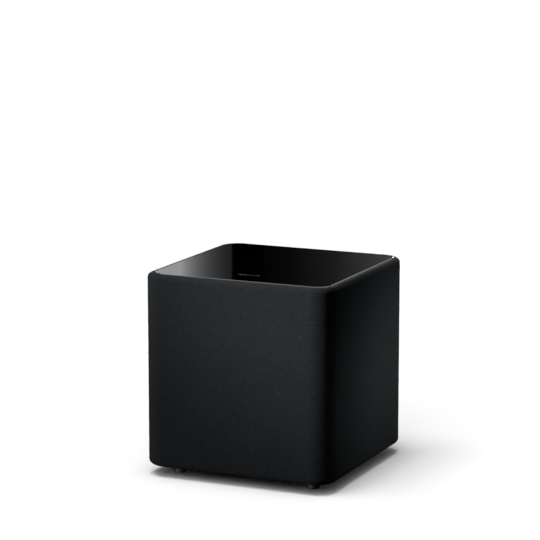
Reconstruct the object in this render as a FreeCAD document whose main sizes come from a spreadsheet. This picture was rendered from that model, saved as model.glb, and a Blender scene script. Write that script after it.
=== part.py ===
"""Cloth-wrapped cube subwoofer: a boarded cabinet, a long-throw driver and a plate amplifier.

The frame is in millimetres: +Z up, the front faces -Y, and the origin is on the floor under the
middle of the cabinet. Every size is a cell of the "sizes" sheet; an expression such as
"wide / 2 - cloth" names those cells.
"""
import FreeCAD, Part
import math
import os
import re

import Sketcher

SIZES = {
    # whole cabinet, over the cloth
    "wide": 350, "deep": 350, "body_tall": 338, "foot_tall": 17,
    "corner": 37, "top_roll": 12, "low_roll": 10,
    # cloth sleeve
    "cloth": 1.2, "cloth_gap": 0.2, "cloth_hem": 14,
    # top panel and its inlaid bar
    "panel_edge": 11.8, "panel_slit": 0.3, "panel_thick": 5, "panel_proud": 1.2, "panel_bevel": 0.8,
    "inlay_wide": 41, "inlay_deep": 2.4, "inlay_thick": 0.8, "inlay_back": 63, "inlay_slack": 0.05,
    # boards and mouldings
    "board": 18, "baffle": 20, "post": 40, "post_bevel": 12, "cover_tall": 14, "base_tall": 12,
    "skin": 4, "cell": 102, "cell_rib": 3, "brace_front": 10, "brace_rail": 42, "brace_round": 30,
    "grille_deep": 20, "grille_open": 127, "grille_rib": 3, "grille_pitch": 30, "grille_slack": 0.2,
    "grille_hole": 16, "grille_hole_in": 24,
    "wadding": 20, "wadding_gap": 2, "wadding_front": 128, "wadding_back": 5,
    # feet
    "foot_inset": 49, "foot_radius": 12, "foot_waist": 11.2, "foot_pad": 2.5, "pad_radius": 10,
    "pad_socket": 1, "foot_well": 5.2, "foot_well_deep": 7,
    "foot_screw": 2.5, "foot_screw_head": 4.8, "foot_screw_head_tall": 3, "foot_screw_long": 30,
    # driver: radii, and depths behind the front of its flange
    "flange_radius": 124, "flange_thick": 6, "flange_ledge": 113, "ledge_deep": 1.5,
    "basket_radius": 112, "basket_inner": 107, "basket_throat": 106, "basket_shoulder": 12,
    "landing_outer": 84, "landing_inner": 68, "landing_deep": 58, "basket_wall": 4,
    "basket_back": 62, "basket_deep": 92, "basket_eye": 34, "window_angle": 21,
    "gasket_thick": 1.5, "gasket_slack": 0.4, "cutout": 113.5,
    "screw_circle": 118.5, "screw_radius": 2, "screw_head": 3.9, "screw_head_tall": 2.6,
    "screw_long": 18, "screw_slack": 0.1, "socket_radius": 1.5, "socket_deep": 1.4,
    "roll_radius": 8, "roll_thick": 1.1, "glue_line": 0.1,
    "cone_edge": 90, "cone_lip": 84, "cone_front": 1.6, "cone_thick": 1.4, "cone_neck": 25.7, "cone_deep": 42,
    "cap_radius": 38, "cap_rise": 12, "cap_thick": 1, "cap_lip": 0.6, "cap_sphere": 66.2,
    "former_inner": 25.2, "former_thick": 0.4, "former_front": 38, "former_back": 112,
    "coil_outer": 27, "coil_front": 83, "coil_back": 109, "coil_slack": 0.05,
    "spider_thick": 0.7, "spider_wave": 5, "spider_flat": 2,
    "gap_outer": 28.2, "pole_radius": 24.4, "pole_vent": 8, "plate_thick": 8,
    "magnet_inner": 36, "magnet_outer": 72, "magnet_thick": 24,
    "tag_wide": 26, "tag_tall": 16, "tag_thick": 2, "tag_blade": 6.3, "tag_blade_thick": 0.8,
    "tag_blade_long": 9,
    # amplifier dish: half sizes, then depths
    "dish_flange_x": 103, "dish_flange_z": 121, "flange_plate": 2.4, "dish_round": 8,
    "dish_x": 90, "dish_z": 108, "dish_wall": 2.4, "dish_deep": 15, "amp_gasket_thick": 1,
    "opening_x": 92, "opening_z": 110, "rebate_slack": 0.4, "amp_screw_in": 6.5,
    "amp_screw_long": 14, "amp_head_tall": 1.3, "amp_socket_deep": 0.9,
    "circuit_x": 80, "circuit_low": 40, "circuit_high": 100, "circuit_thick": 1.6, "circuit_gap": 16,
    "standoff_radius": 3, "standoff_in": 6,
    "sink_x": 55, "sink_low": 62, "sink_high": 92, "sink_base": 4, "sink_deep": 26,
    "fin_thick": 2, "fin_pitch": 9,
    "core_x": 22, "core_z": 18, "core_deep": 30, "core_at_x": 44, "core_at_z": 12,
    "bobbin_x": 15, "bobbin_z": 24, "bobbin_deep": 22,
    "can_radius": 11, "can_long": 34, "can_bead": 1.2, "can_pitch": 25, "can_at_x": 14, "can_at_z": 0,
    # controls, each placed from the middle of the dish
    "knob_x": 52, "knob_z": 72, "knob_radius": 13, "knob_tall": 13, "knob_gap": 0.6,
    "knob_top": 11.4, "knob_skirt": 2, "knob_flute": 0.9, "knob_bore_deep": 11.4, "knob_mark": 1.2,
    "shaft_radius": 3, "shaft_slack": 0.05, "shaft_long": 29, "pot_half": 8.5, "pot_deep": 9,
    "bush_radius": 3.8, "bush_slack": 0.2, "shaft_in": 1.4,
    "switch_x": 52, "switch_z": 28, "switch_half_x": 8, "switch_half_z": 4, "switch_room_x": 6,
    "switch_room_z": 2.2, "switch_room_deep": 7.4, "switch_gap": 0.2,
    "slider_foot_x": 3.4, "slider_half": 1.8, "slider_foot_deep": 4, "slider_proud": 4.6,
    "slider_slack": 0.15, "slider_groove": 0.6, "slot_x": 4.2, "slot_z": 2, "phase_throw": 3,
    "rocker_x": 45, "rocker_z": 70, "bezel_x": 7.5, "bezel_z": 11, "bezel_thick": 2,
    "case_x": 6.4, "case_z": 9.6, "case_deep": 20, "case_slack": 0.15, "room_x": 5.2, "room_z": 8.6,
    "room_deep": 15, "rocker_half_x": 5, "rocker_half_z": 7.6, "rocker_pin": 1.2,
    "rocker_pin_slack": 0.05, "rocker_pivot": 3, "rocker_rise": 3.5, "rocker_dip": 2.6,
    "rocker_tilt": 8,
    "inlet_x": 40, "inlet_z": 68, "inlet_half_x": 16.5, "inlet_top": 15, "inlet_foot": 21,
    "inlet_flange": 2, "inlet_case_in": 2, "inlet_deep": 26, "mouth_x": 12, "mouth_top": 12.5,
    "mouth_foot": 3.5, "mouth_deep": 16, "mouth_bevel": 4.5, "blade_x": 2, "blade_z": 1,
    "blade_long": 13, "blade_apart": 7, "blade_low": 2.5, "blade_high": 6.5,
    "fuse_room_x": 11, "fuse_room_top": 8, "fuse_room_foot": 17.5, "fuse_room_deep": 22,
    "fuse_slack": 0.2, "fuse_lip": 1.2, "fuse_grip": 1.2,
    "phono_x": 52, "phono_z": 14, "phono_apart": 18, "phono_collar": 5.6, "phono_collar_tall": 1.6,
    "phono_radius": 4.15, "phono_wall": 0.8, "phono_tall": 8.4, "phono_neck": 4,
    "phono_half": 5.2, "phono_pin_hole": 1.6, "phono_core": 2.6, "phono_deep": 7, "phono_core_in": 1,
    "jack_x": 52, "jack_z": 28, "jack_collar": 4, "jack_collar_tall": 1.4, "jack_bore": 1.8,
    "jack_deep": 13, "jack_half": 4.5, "jack_neck": 3,
    "block_x": 34, "block_z": 14, "block_half_x": 11, "block_half_z": 4.5, "block_proud": 5,
    "block_pitch": 5.08, "block_hole": 1.3, "block_hole_deep": 6, "block_slack": 0.2,
    "lens_x": 52, "lens_z": 72, "lens_radius": 2.4, "lens_proud": 1.6, "lens_slack": 0.1,
    "lens_flange": 3.4, "lens_flange_thick": 1,
    # loudspeaker lead
    "lead_radius": 1.3, "lead_bend": 14, "lead_step": 32, "lead_apart": 3.4,
}
GROUP_SCREWS = 8
BASKET_WINDOWS = 6
KNOB_FLUTES = 24
SINK_FINS = 12
SPIDER_WAVES = 4
CELLS = (-1, 0, 1)

# places worked out from the sizes
SIDE = "(wide / 2 - cloth - cloth_gap)"
FRONT = "(cloth + cloth_gap - deep / 2)"
REAR = "(deep / 2 - cloth - cloth_gap)"
UNDER_CORNER = "(corner - cloth - cloth_gap)"
BASE = "(foot_tall + cloth + cloth_gap)"
BOTTOM = "(foot_tall + cloth + cloth_gap + base_tall)"
INSIDE_LOW = "(foot_tall + cloth + cloth_gap + base_tall + board)"
TOP = "(foot_tall + body_tall)"
CLOTH_TOP = "(foot_tall + body_tall - panel_proud)"
RIM = "(foot_tall + body_tall - panel_proud - cloth - cloth_gap)"
LID = "(foot_tall + body_tall - panel_proud - cloth - cloth_gap - cover_tall)"
INSIDE_HIGH = LID[:-1] + " - board)"
BETWEEN_POSTS = SIDE[:-1] + " - post)"
MIDDLE = "(foot_tall + body_tall / 2)"
FLANGE_FRONT = "(cloth + cloth_gap + grille_deep - deep / 2)"
PLATE_FACE = "(deep / 2 - dish_deep)"
PLATE_BACK = "(deep / 2 - dish_deep - dish_wall)"
CIRCUIT_FACE = "(deep / 2 - dish_deep - dish_wall - circuit_gap)"
CIRCUIT_BACK = "(deep / 2 - dish_deep - dish_wall - circuit_gap - circuit_thick)"

doc = FreeCAD.newDocument("subwoofer")
sheet = doc.addObject("Spreadsheet::Sheet", "sizes")
sub_parts = []


# ---------------------------------------------------------------- sheet and expressions
def fill_sheet():
    """Writes each size into the sheet and gives its cell the size's name."""
    for row, (name, value) in enumerate(SIZES.items(), start=1):
        sheet.set("A%d" % row, name)
        sheet.set("B%d" % row, str(value))
        sheet.setAlias("B%d" % row, name)
    doc.recompute()


def bound(expression):
    """Puts the sheet's name before each size in an expression."""
    return re.sub(r"[a-z_]+", lambda word: "sizes." + word[0] if word[0] in SIZES else word[0],
                  expression)


def value(expression):
    """Gives the number that an expression stands for."""
    return float(sheet.evalExpression(bound(expression)))


# ---------------------------------------------------------------- sketches
PLANE_NORMALS = {"XY": 1, "XZ": -1, "YZ": 1}


def origin_feature(body, role):
    return next(item for item in body.Origin.OriginFeatures if item.Role == role)


def sketch_on(body, plane, place):
    """Starts a sketch on a plane of the body, moved along that plane's own axis to a place."""
    sketch = body.newObject("Sketcher::SketchObject", body.Label + "_outline")
    sketch.AttachmentSupport = (origin_feature(body, plane + "_Plane"), "")
    sketch.MapMode = "FlatFace"
    sign = "" if PLANE_NORMALS[plane] > 0 else "-"
    sketch.setExpression("AttachmentOffset.Base.z", bound("%s(%s)" % (sign, place)))
    return sketch


def tie(sketch, kind, expression, *ends):
    """Adds a dimension to the sketch and binds it to an expression."""
    index = sketch.addConstraint(Sketcher.Constraint(kind, *ends, value(expression)))
    sketch.setExpression("Constraints[%d]" % index, bound(expression))


def tie_point(sketch, edge, end, across, up):
    tie(sketch, "DistanceX", across, -1, 1, edge, end)
    tie(sketch, "DistanceY", up, -1, 1, edge, end)


def end_at(sketch, edge, spot):
    """Says which end of an edge, 1 or 2, lies at a spot."""
    return 1 if sketch.getPoint(edge, 1).distanceToPoint(spot) < 1e-6 else 2


def bowed(start, end, radius, side):
    """An arc between two points, bulging to the left of the way there for side 1, right for -1."""
    chord = end - start
    rise = radius - math.sqrt(max(radius ** 2 - (chord.Length / 2) ** 2, 0))
    left = FreeCAD.Vector(-chord.y, chord.x, 0).normalize()
    middle = (start + end) / 2 + left * rise * side
    return Part.Arc(end, middle, start) if side > 0 else Part.Arc(start, middle, end)


def draw_loop(sketch, points):
    """Draws a closed outline; a point with a radius and a side is reached along an arc."""
    spots = [FreeCAD.Vector(value(point[0]), value(point[1]), 0) for point in points]
    edges = []
    for index, point in enumerate(points):
        start, end = spots[index - 1], spots[index]
        if len(point) == 2:
            curve = Part.LineSegment(start, end)
        else:
            curve = bowed(start, end, value(point[2]), point[3])
        edges.append(sketch.addGeometry(curve, False))
    for index, point in enumerate(points):
        spot = spots[index]
        this, after = edges[index], edges[(index + 1) % len(edges)]
        this_end, after_end = end_at(sketch, this, spot), end_at(sketch, after, spot)
        sketch.addConstraint(Sketcher.Constraint("Coincident", this, this_end, after, after_end))
        tie_point(sketch, this, this_end, point[0], point[1])
        if len(point) == 4:
            tie(sketch, "Radius", point[2], this)


def draw_circle(sketch, across, up, radius):
    centre = FreeCAD.Vector(value(across), value(up), 0)
    edge = sketch.addGeometry(Part.Circle(centre, FreeCAD.Vector(0, 0, 1), value(radius)), False)
    tie_point(sketch, edge, 3, across, up)
    tie(sketch, "Radius", radius, edge)


def draw(sketch, outlines):
    """Draws circles, given as (across, up, radius), and loops, given as lists of points."""
    for outline in outlines:
        if isinstance(outline, tuple):
            draw_circle(sketch, *outline)
        else:
            draw_loop(sketch, outline)


def box_outline(low_x, low_y, high_x, high_y):
    return [(low_x, low_y), (high_x, low_y), (high_x, high_y), (low_x, high_y)]


def centred_outline(half_x, half_y, across="0", up="0"):
    return box_outline("%s - %s" % (across, half_x), "%s - %s" % (up, half_y),
                       "%s + %s" % (across, half_x), "%s + %s" % (up, half_y))


def rounded_outline(half_x, half_y, radius, across="0", up="0"):
    """A centred rectangle with round corners, walked counterclockwise."""
    left, right = "%s - %s" % (across, half_x), "%s + %s" % (across, half_x)
    low, high = "%s - %s" % (up, half_y), "%s + %s" % (up, half_y)
    return [("%s - %s" % (right, radius), low),
            (right, "%s + %s" % (low, radius), radius, -1), (right, "%s - %s" % (high, radius)),
            ("%s - %s" % (right, radius), high, radius, -1), ("%s + %s" % (left, radius), high),
            (left, "%s - %s" % (high, radius), radius, -1), (left, "%s + %s" % (low, radius)),
            ("%s + %s" % (left, radius), low, radius, -1)]


# ---------------------------------------------------------------- features
def new_body(label):
    """Starts a sub-part."""
    body = doc.addObject("PartDesign::Body", label)
    body.Label = label
    body.AllowCompound = True
    sub_parts.append(body)
    return body


def place(body, across="0", along="0", up="0"):
    for axis, expression in (("x", across), ("y", along), ("z", up)):
        body.setExpression("Placement.Base." + axis, bound(expression))


def settle(body, feature, volume_before, grows):
    """Recomputes the body and stops if the feature did not change its volume the right way."""
    doc.recompute()
    change = body.Shape.Volume - volume_before
    if not feature.isValid() or (change > 0) != grows or abs(change) < 1e-4:
        raise RuntimeError("%s in %s changed the volume by %g, state %s" % (
            feature.Name, body.Label, change, feature.State))
    return feature


def volume_of(body):
    return 0.0 if body.Shape.isNull() else body.Shape.Volume


def extrude(body, kind, plane, start, end, outlines):
    """Pads or pockets outlines from one place to another along the plane's own axis."""
    before = volume_of(body)
    sketch = sketch_on(body, plane, start)
    draw(sketch, outlines)
    feature = body.newObject("PartDesign::" + kind, body.Label + "_" + kind)
    feature.Profile = sketch
    upward = value(end) > value(start)
    with_normal = upward == (PLANE_NORMALS[plane] > 0)
    feature.Reversed = with_normal if kind == "Pocket" else not with_normal
    span = "(%s) - (%s)" % ((end, start) if upward else (start, end))
    feature.setExpression("Length", bound(span))
    return settle(body, feature, before, kind == "Pad")


def pad(body, plane, start, end, *outlines):
    return extrude(body, "Pad", plane, start, end, outlines)


def pocket(body, plane, start, end, *outlines):
    return extrude(body, "Pocket", plane, start, end, outlines)


def turn(body, plane, points, kind="Revolution"):
    """Revolves an outline, or cuts it as a groove, about the upright axis of its sketch."""
    before = volume_of(body)
    sketch = sketch_on(body, plane, "0")
    draw_loop(sketch, points)
    feature = body.newObject("PartDesign::" + kind, body.Label + "_" + kind)
    feature.Profile = sketch
    feature.ReferenceAxis = (sketch, ["V_Axis"])
    feature.Angle = 360
    return settle(body, feature, before, kind == "Revolution")


def ease(body, size, chosen, kind="Fillet"):
    """Rounds or bevels the chosen edges of the body."""
    tip = body.Tip
    names = ["Edge%d" % (index + 1) for index, edge in enumerate(tip.Shape.Edges) if chosen(edge)]
    feature = body.newObject("PartDesign::" + kind, body.Label + "_" + kind)
    feature.Base = (tip, names)
    feature.setExpression("Radius" if kind == "Fillet" else "Size", bound(size))
    doc.recompute()
    if not names or not feature.isValid():
        raise RuntimeError("%s in %s failed on %d edges" % (kind, body.Label, len(names)))
    return feature


def repeat(body, feature, kind, axis, count):
    """Repeats a feature round, or along, an axis of its own sketch."""
    pattern = body.newObject("PartDesign::" + kind, body.Label + "_pattern")
    pattern.Originals = [feature]
    setattr(pattern, "Axis" if kind == "PolarPattern" else "Direction",
            (feature.Profile[0], [axis]))
    pattern.Occurrences = count
    body.Tip = pattern
    return pattern


def repeat_round(body, feature, count):
    repeat(body, feature, "PolarPattern", "N_Axis", count).Angle = 360
    doc.recompute()


def repeat_across(body, feature, count, length):
    pattern = repeat(body, feature, "LinearPattern", "H_Axis", count)
    pattern.setExpression("Length", bound(length))
    doc.recompute()


# ---------------------------------------------------------------- choosing edges
def runs_along(edge, axis):
    start, end = edge.Vertexes[0].Point, edge.Vertexes[-1].Point
    others = [index for index in range(3) if index != axis]
    straight = all(abs(start[index] - end[index]) < 1e-6 for index in others)
    return straight and abs(start[axis] - end[axis]) > 1e-6


def upright(edge):
    return runs_along(edge, 2)


def level_at(expression, axis=2):
    """Makes a test for edges that lie wholly at one place along an axis."""
    def test(edge):
        ends = edge.BoundBox
        low = (ends.XMin, ends.YMin, ends.ZMin)[axis]
        high = (ends.XMax, ends.YMax, ends.ZMax)[axis]
        return abs(low - value(expression)) < 1e-4 and abs(high - value(expression)) < 1e-4
    return test


# ---------------------------------------------------------------- cabinet
def rolled_block(body, half_x, half_y, low, high, corner):
    """Pads a block and rounds its four upright edges."""
    pad(body, "XY", low, high, centred_outline(half_x, half_y))
    ease(body, corner, upright)


def board(label, low_x, low_y, high_x, high_y, low, high):
    body = new_body(label)
    pad(body, "XY", low, high, box_outline(low_x, low_y, high_x, high_y))
    return body


def cut_cells(body, start, end, cells):
    """Pockets square cells, leaving ribs between them."""
    outlines = []
    for column, row in cells:
        across = "%d * (cell + cell_rib)" % column
        up = "%d * (cell + cell_rib)" % row
        outlines.append(centred_outline("cell / 2", "cell / 2", across, up))
    pocket(body, "XY", start, end, *outlines)


def foot_spots():
    reach_x = "(wide / 2 - foot_inset)"
    reach_y = "(deep / 2 - foot_inset)"
    return [(sx + reach_x, sy + reach_y) for sx in ("-", "") for sy in ("-", "")]


def make_bottom_tray():
    body = new_body("bottom_tray")
    rolled_block(body, SIDE, SIDE, BASE, BOTTOM, UNDER_CORNER)
    ease(body, "low_roll - cloth - cloth_gap", level_at(BASE))
    cross = [(column, row) for column in CELLS for row in CELLS if column == 0 or row == 0]
    cut_cells(body, BOTTOM, BASE + " + skin", cross)
    hole = "foot_screw + screw_slack"
    pocket(body, "XY", BOTTOM, BASE, *[(x, y, hole) for x, y in foot_spots()])


def make_bottom_board():
    body = new_body("bottom_board")
    rolled_block(body, SIDE, SIDE, BOTTOM, INSIDE_LOW, UNDER_CORNER)
    hole = "foot_screw + screw_slack"
    pocket(body, "XY", BOTTOM, INSIDE_LOW + " - skin", *[(x, y, hole) for x, y in foot_spots()])


def make_top_board():
    body = new_body("top_board")
    rolled_block(body, SIDE, SIDE, INSIDE_HIGH, LID, UNDER_CORNER)


def make_top_tray():
    """The moulded cover that carries the rolled top edge and the seat of the panel."""
    body = new_body("top_tray")
    rolled_block(body, SIDE, SIDE, LID, RIM, UNDER_CORNER)
    ease(body, "top_roll - cloth - cloth_gap", level_at(RIM))
    seat = TOP + " - panel_thick"
    half = "(wide / 2 - panel_edge + cloth_gap)"
    pocket(body, "XY", RIM, seat, rounded_outline(half, half, "(corner - panel_edge)"))
    cut_cells(body, LID, seat + " - skin", [(column, row) for column in CELLS for row in CELLS])


def make_side_panels():
    inner = SIDE + " - board"
    along = BETWEEN_POSTS
    board("right_side_panel", inner, "-" + along, SIDE, along, INSIDE_LOW, INSIDE_HIGH)
    board("left_side_panel", "-" + SIDE, "-" + along, "-(%s)" % inner, along,
          INSIDE_LOW, INSIDE_HIGH)


def make_corner_posts():
    body = new_body("corner_posts")
    near, far = BETWEEN_POSTS, SIDE
    squares = []
    for sign_x in (1, -1):
        for sign_y in (1, -1):
            squares.append(box_outline("%d * %s" % (sign_x, near), "%d * %s" % (sign_y, near),
                                       "%d * %s" % (sign_x, far), "%d * %s" % (sign_y, far)))
    pad(body, "XY", INSIDE_LOW, INSIDE_HIGH, *squares)
    ease(body, UNDER_CORNER, lambda edge: post_edge(edge, far))
    ease(body, "post_bevel", lambda edge: post_edge(edge, near), "Chamfer")


def post_edge(edge, reach):
    """Picks the upright edges of the posts at one distance from both middle planes."""
    spot = edge.Vertexes[0].Point
    at_x = abs(abs(spot.x) - value(reach)) < 1e-4
    at_y = abs(abs(spot.y) - value(reach)) < 1e-4
    return upright(edge) and at_x and at_y


def ring_spots(radius, count, middle_up="0"):
    """Places on a circle, the first half a step round from the right."""
    spots = []
    for index in range(count):
        angle = 360.0 * (index + 0.5) / count
        spots.append(("%s * cos(%g deg)" % (radius, angle),
                      "%s + %s * sin(%g deg)" % (middle_up, radius, angle)))
    return spots


def make_front_baffle():
    body = new_body("front_baffle")
    face, back = FLANGE_FRONT, FLANGE_FRONT + " + baffle"
    seat = FLANGE_FRONT + " + flange_thick + gasket_thick"
    pad(body, "XZ", face, back,
        box_outline("-" + BETWEEN_POSTS, INSIDE_LOW, BETWEEN_POSTS, INSIDE_HIGH))
    pocket(body, "XZ", face, back, ("0", MIDDLE, "cutout"))
    pocket(body, "XZ", face, seat, ("0", MIDDLE, "flange_radius + gasket_slack"))
    holes = [(x, z, "screw_radius + screw_slack")
             for x, z in ring_spots("screw_circle", GROUP_SCREWS, MIDDLE)]
    pocket(body, "XZ", seat, back, *holes)


def make_grille_frame():
    """A moulded frame whose thin lattice holds the cloth off the driver."""
    body = new_body("grille_frame")
    half = BETWEEN_POSTS + " - grille_slack"
    face, back = FRONT, FLANGE_FRONT + " - grille_slack"
    low, high = INSIDE_LOW + " + grille_slack", INSIDE_HIGH + " - grille_slack"
    pad(body, "XZ", face, back, box_outline("-(%s)" % half, low, half, high))
    pocket(body, "XZ", face, back, ("0", MIDDLE, "grille_open"))
    corners = [("%d * (%s - grille_hole_in)" % (sx, half),
                "%s + %d * (body_tall / 2 - grille_deep - grille_hole_in - base_tall)" % (MIDDLE, sz),
                "grille_hole") for sx in (1, -1) for sz in (1, -1)]
    pocket(body, "XZ", face, back, *corners)
    for upright_ribs in (True, False):
        ribs = [lattice_rib(step, upright_ribs) for step in range(-3, 4)]
        pad(body, "XZ", face, face + " + grille_rib", *ribs)


def lattice_rib(step, is_upright):
    """One bar of the lattice, long enough to reach into the frame."""
    place_across = "%d * grille_pitch" % step
    reach = "sqrt(grille_open ^ 2 - (%s) ^ 2) + grille_rib" % place_across
    if is_upright:
        return centred_outline("grille_rib / 2", "(%s)" % reach, place_across, MIDDLE)
    return centred_outline("(%s)" % reach, "grille_rib / 2", "0", "%s + %s" % (MIDDLE, place_across))


def make_window_brace():
    body = new_body("window_brace")
    inner = SIDE + " - board"
    front, back = "brace_front", "brace_front + board"
    pad(body, "XZ", front, back, box_outline("-(%s)" % inner, INSIDE_LOW, inner, INSIDE_HIGH))
    pocket(body, "XZ", front, back,
           box_outline("brace_rail - (%s)" % inner, INSIDE_LOW + " + brace_rail",
                       "%s - brace_rail" % inner, INSIDE_HIGH + " - brace_rail"))
    inside = value(inner) - value("brace_rail")
    ease(body, "brace_round",
         lambda edge: runs_along(edge, 1) and abs(abs(edge.Vertexes[0].Point.x) - inside) < 1e-4)


def make_wadding():
    """A soft lining on both sides and the ceiling, in the front half of the cabinet."""
    body = new_body("wadding")
    outer = "(%s - board - wadding_gap)" % SIDE
    high = "(%s - wadding_gap)" % INSIDE_HIGH
    low = "(%s + wadding_gap)" % INSIDE_LOW
    inner, ceiling = outer[:-1] + " - wadding)", high[:-1] + " - wadding)"
    pad(body, "XZ", "-wadding_front", "wadding_back",
        [("-" + outer, low), ("-" + outer, high), (outer, high), (outer, low),
         (inner, low), (inner, ceiling), ("-" + inner, ceiling), ("-" + inner, low)])


def make_rear_baffle():
    body = new_body("rear_baffle")
    pad(body, "XZ", REAR, REAR + " - board",
        box_outline("-" + BETWEEN_POSTS, INSIDE_LOW, BETWEEN_POSTS, INSIDE_HIGH))
    pocket(body, "XZ", REAR, REAR + " - board", centred_outline("opening_x", "opening_z", "0", MIDDLE))
    seat = "deep / 2 - flange_plate - amp_gasket_thick"
    pocket(body, "XZ", REAR, seat,
           centred_outline("(dish_flange_x + rebate_slack)", "(dish_flange_z + rebate_slack)",
                           "0", MIDDLE))
    pocket(body, "XZ", seat, REAR + " - board",
           *[(x, z, "screw_radius + screw_slack") for x, z in amp_screw_spots()])


# ---------------------------------------------------------------- cloth and top
def tool_body(label):
    """Starts a helper solid that a boolean uses and that is no sub-part itself."""
    body = new_body(label)
    sub_parts.remove(body)
    return body


def make_fabric_wrap():
    """A stretched sleeve, rolled over the top and bottom edges and cut out round the amplifier."""
    outer = tool_body("cloth_outside")
    rolled_block(outer, "wide / 2", "deep / 2", "foot_tall", CLOTH_TOP, "corner")
    ease(outer, "top_roll", level_at(CLOTH_TOP))
    ease(outer, "low_roll", level_at("foot_tall"))
    inner = tool_body("cloth_inside")
    low, high = "foot_tall + cloth", CLOTH_TOP + " - cloth"
    rolled_block(inner, "(wide / 2 - cloth)", "(deep / 2 - cloth)", low, high, "corner - cloth")
    ease(inner, "top_roll - cloth", level_at(high))
    ease(inner, "low_roll - cloth", level_at(low))
    mouths = tool_body("cloth_openings")
    half = "(wide / 2 - panel_edge + panel_slit)"
    rolled_block(mouths, half, half, high + " - skin", TOP + " + skin",
                 "corner - panel_edge + panel_slit")
    hem = tool_body("cloth_hem_opening")
    rolled_block(hem, "(wide / 2 - cloth_hem)", "(deep / 2 - cloth_hem)", "0",
                 low + " + skin", "corner - cloth_hem")
    rear = tool_body("cloth_amplifier_opening")
    pad(rear, "XZ", REAR + " - skin", "deep / 2 + skin",
        centred_outline("(dish_flange_x + panel_slit)", "(dish_flange_z + panel_slit)", "0", MIDDLE))
    ease(rear, "dish_round", lambda edge: runs_along(edge, 1))
    tools = doc.addObject("Part::MultiFuse", "cloth_tools")
    tools.Shapes = [inner, mouths, hem, rear]
    cloth = doc.addObject("Part::Cut", "fabric_wrap")
    cloth.Base = outer
    cloth.Tool = tools
    cloth.Label = "fabric_wrap"
    sub_parts.append(cloth)
    doc.recompute()


def make_top_panel():
    body = new_body("top_panel")
    half = "(wide / 2 - panel_edge)"
    rolled_block(body, half, half, TOP + " - panel_thick", TOP, "corner - panel_edge")
    ease(body, "panel_bevel", level_at(TOP), "Chamfer")
    pocket(body, "XY", TOP, TOP + " - inlay_thick",
           centred_outline("(inlay_wide / 2 + inlay_slack)", "(inlay_deep / 2 + inlay_slack)",
                           "0", "(inlay_back - deep / 2)"))


def make_top_inlay():
    body = new_body("top_inlay")
    pad(body, "XY", TOP + " - inlay_thick", TOP,
        centred_outline("inlay_wide / 2", "inlay_deep / 2", "0", "(inlay_back - deep / 2)"))


# ---------------------------------------------------------------- feet
def make_feet():
    names = ("front_left", "rear_left", "front_right", "rear_right")
    for name, (across, along) in zip(names, foot_spots()):
        foot = new_body("foot_" + name)
        turn(foot, "XZ", [("foot_screw + screw_slack", "foot_pad + foot_well_deep"),
                          ("foot_well", "foot_pad + foot_well_deep"), ("foot_well", "foot_pad"),
                          ("pad_radius + screw_slack", "foot_pad"),
                          ("pad_radius + screw_slack", "foot_pad - pad_socket"),
                          ("foot_waist", "foot_pad - pad_socket"),
                          ("foot_radius", BASE + " - foot_pad"), ("foot_radius", BASE),
                          ("foot_screw + screw_slack", BASE)])
        place(foot, across, along)
    pads = new_body("foot_pads")
    pad(pads, "XY", "0", "foot_pad", *[(x, y, "pad_radius") for x, y in foot_spots()])
    ease(pads, "pad_socket / 2", level_at("0"))


def make_foot_screws():
    body = new_body("foot_screws")
    head = "foot_pad + foot_well_deep"
    pad(body, "XY", head + " - foot_screw_head_tall", head,
        *[(x, y, "foot_screw_head") for x, y in foot_spots()])
    pad(body, "XY", head, head + " + foot_screw_long",
        *[(x, y, "foot_screw") for x, y in foot_spots()])
    pocket(body, "XY", head + " - foot_screw_head_tall",
           head + " - foot_screw_head_tall + socket_deep",
           *[(x, y, "socket_radius") for x, y in foot_spots()])


# ---------------------------------------------------------------- driver
def driver_ring(label, points):
    """Revolves an outline, given as radius and depth behind the flange, about the driver's axis."""
    body = new_body(label)
    turn(body, "XY", points)
    place(body, "0", FLANGE_FRONT, MIDDLE)
    return body


def make_basket():
    body = driver_ring("driver_basket", [
        ("flange_ledge", "0"), ("flange_radius", "0"), ("flange_radius", "flange_thick"),
        ("basket_radius", "flange_thick"), ("basket_radius", "basket_shoulder"),
        ("landing_outer", "landing_deep + basket_wall / 2"),
        ("landing_inner + basket_wall", "landing_deep + basket_wall * 1.5"),
        ("basket_back", "basket_deep"), ("basket_eye", "basket_deep"),
        ("basket_eye", "basket_deep - basket_wall"),
        ("basket_back - basket_wall", "basket_deep - basket_wall"),
        ("landing_inner", "landing_deep + basket_wall"), ("landing_inner", "landing_deep"),
        ("landing_outer - basket_wall", "landing_deep"), ("basket_inner", "basket_shoulder"),
        ("basket_throat", "flange_thick"), ("basket_throat", "ledge_deep"),
        ("flange_ledge", "ledge_deep")])
    near, far = "(landing_outer + basket_wall / 2)", "(basket_throat - basket_wall / 2)"
    window = [("%s * cos(%swindow_angle * 1 deg)" % (reach, sign),
               "%s * sin(%swindow_angle * 1 deg)" % (reach, sign))
              for reach, sign in ((near, "-"), (far, "-"), (far, ""), (near, ""))]
    cut = pocket(body, "XZ", "flange_thick + basket_wall", "basket_deep", window)
    repeat_round(body, cut, BASKET_WINDOWS)
    holes = [(x, z, "screw_radius + screw_slack")
             for x, z in ring_spots("screw_circle", GROUP_SCREWS)]
    pocket(body, "XZ", "0", "flange_thick", *holes)


def make_driver_gasket():
    body = driver_ring("driver_gasket",
                       box_outline("cutout + gasket_slack", "flange_thick",
                                   "flange_radius", "flange_thick + gasket_thick"))
    holes = [(x, z, "screw_radius + screw_slack")
             for x, z in ring_spots("screw_circle", GROUP_SCREWS)]
    pocket(body, "XZ", "flange_thick", "flange_thick + gasket_thick", *holes)


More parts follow.
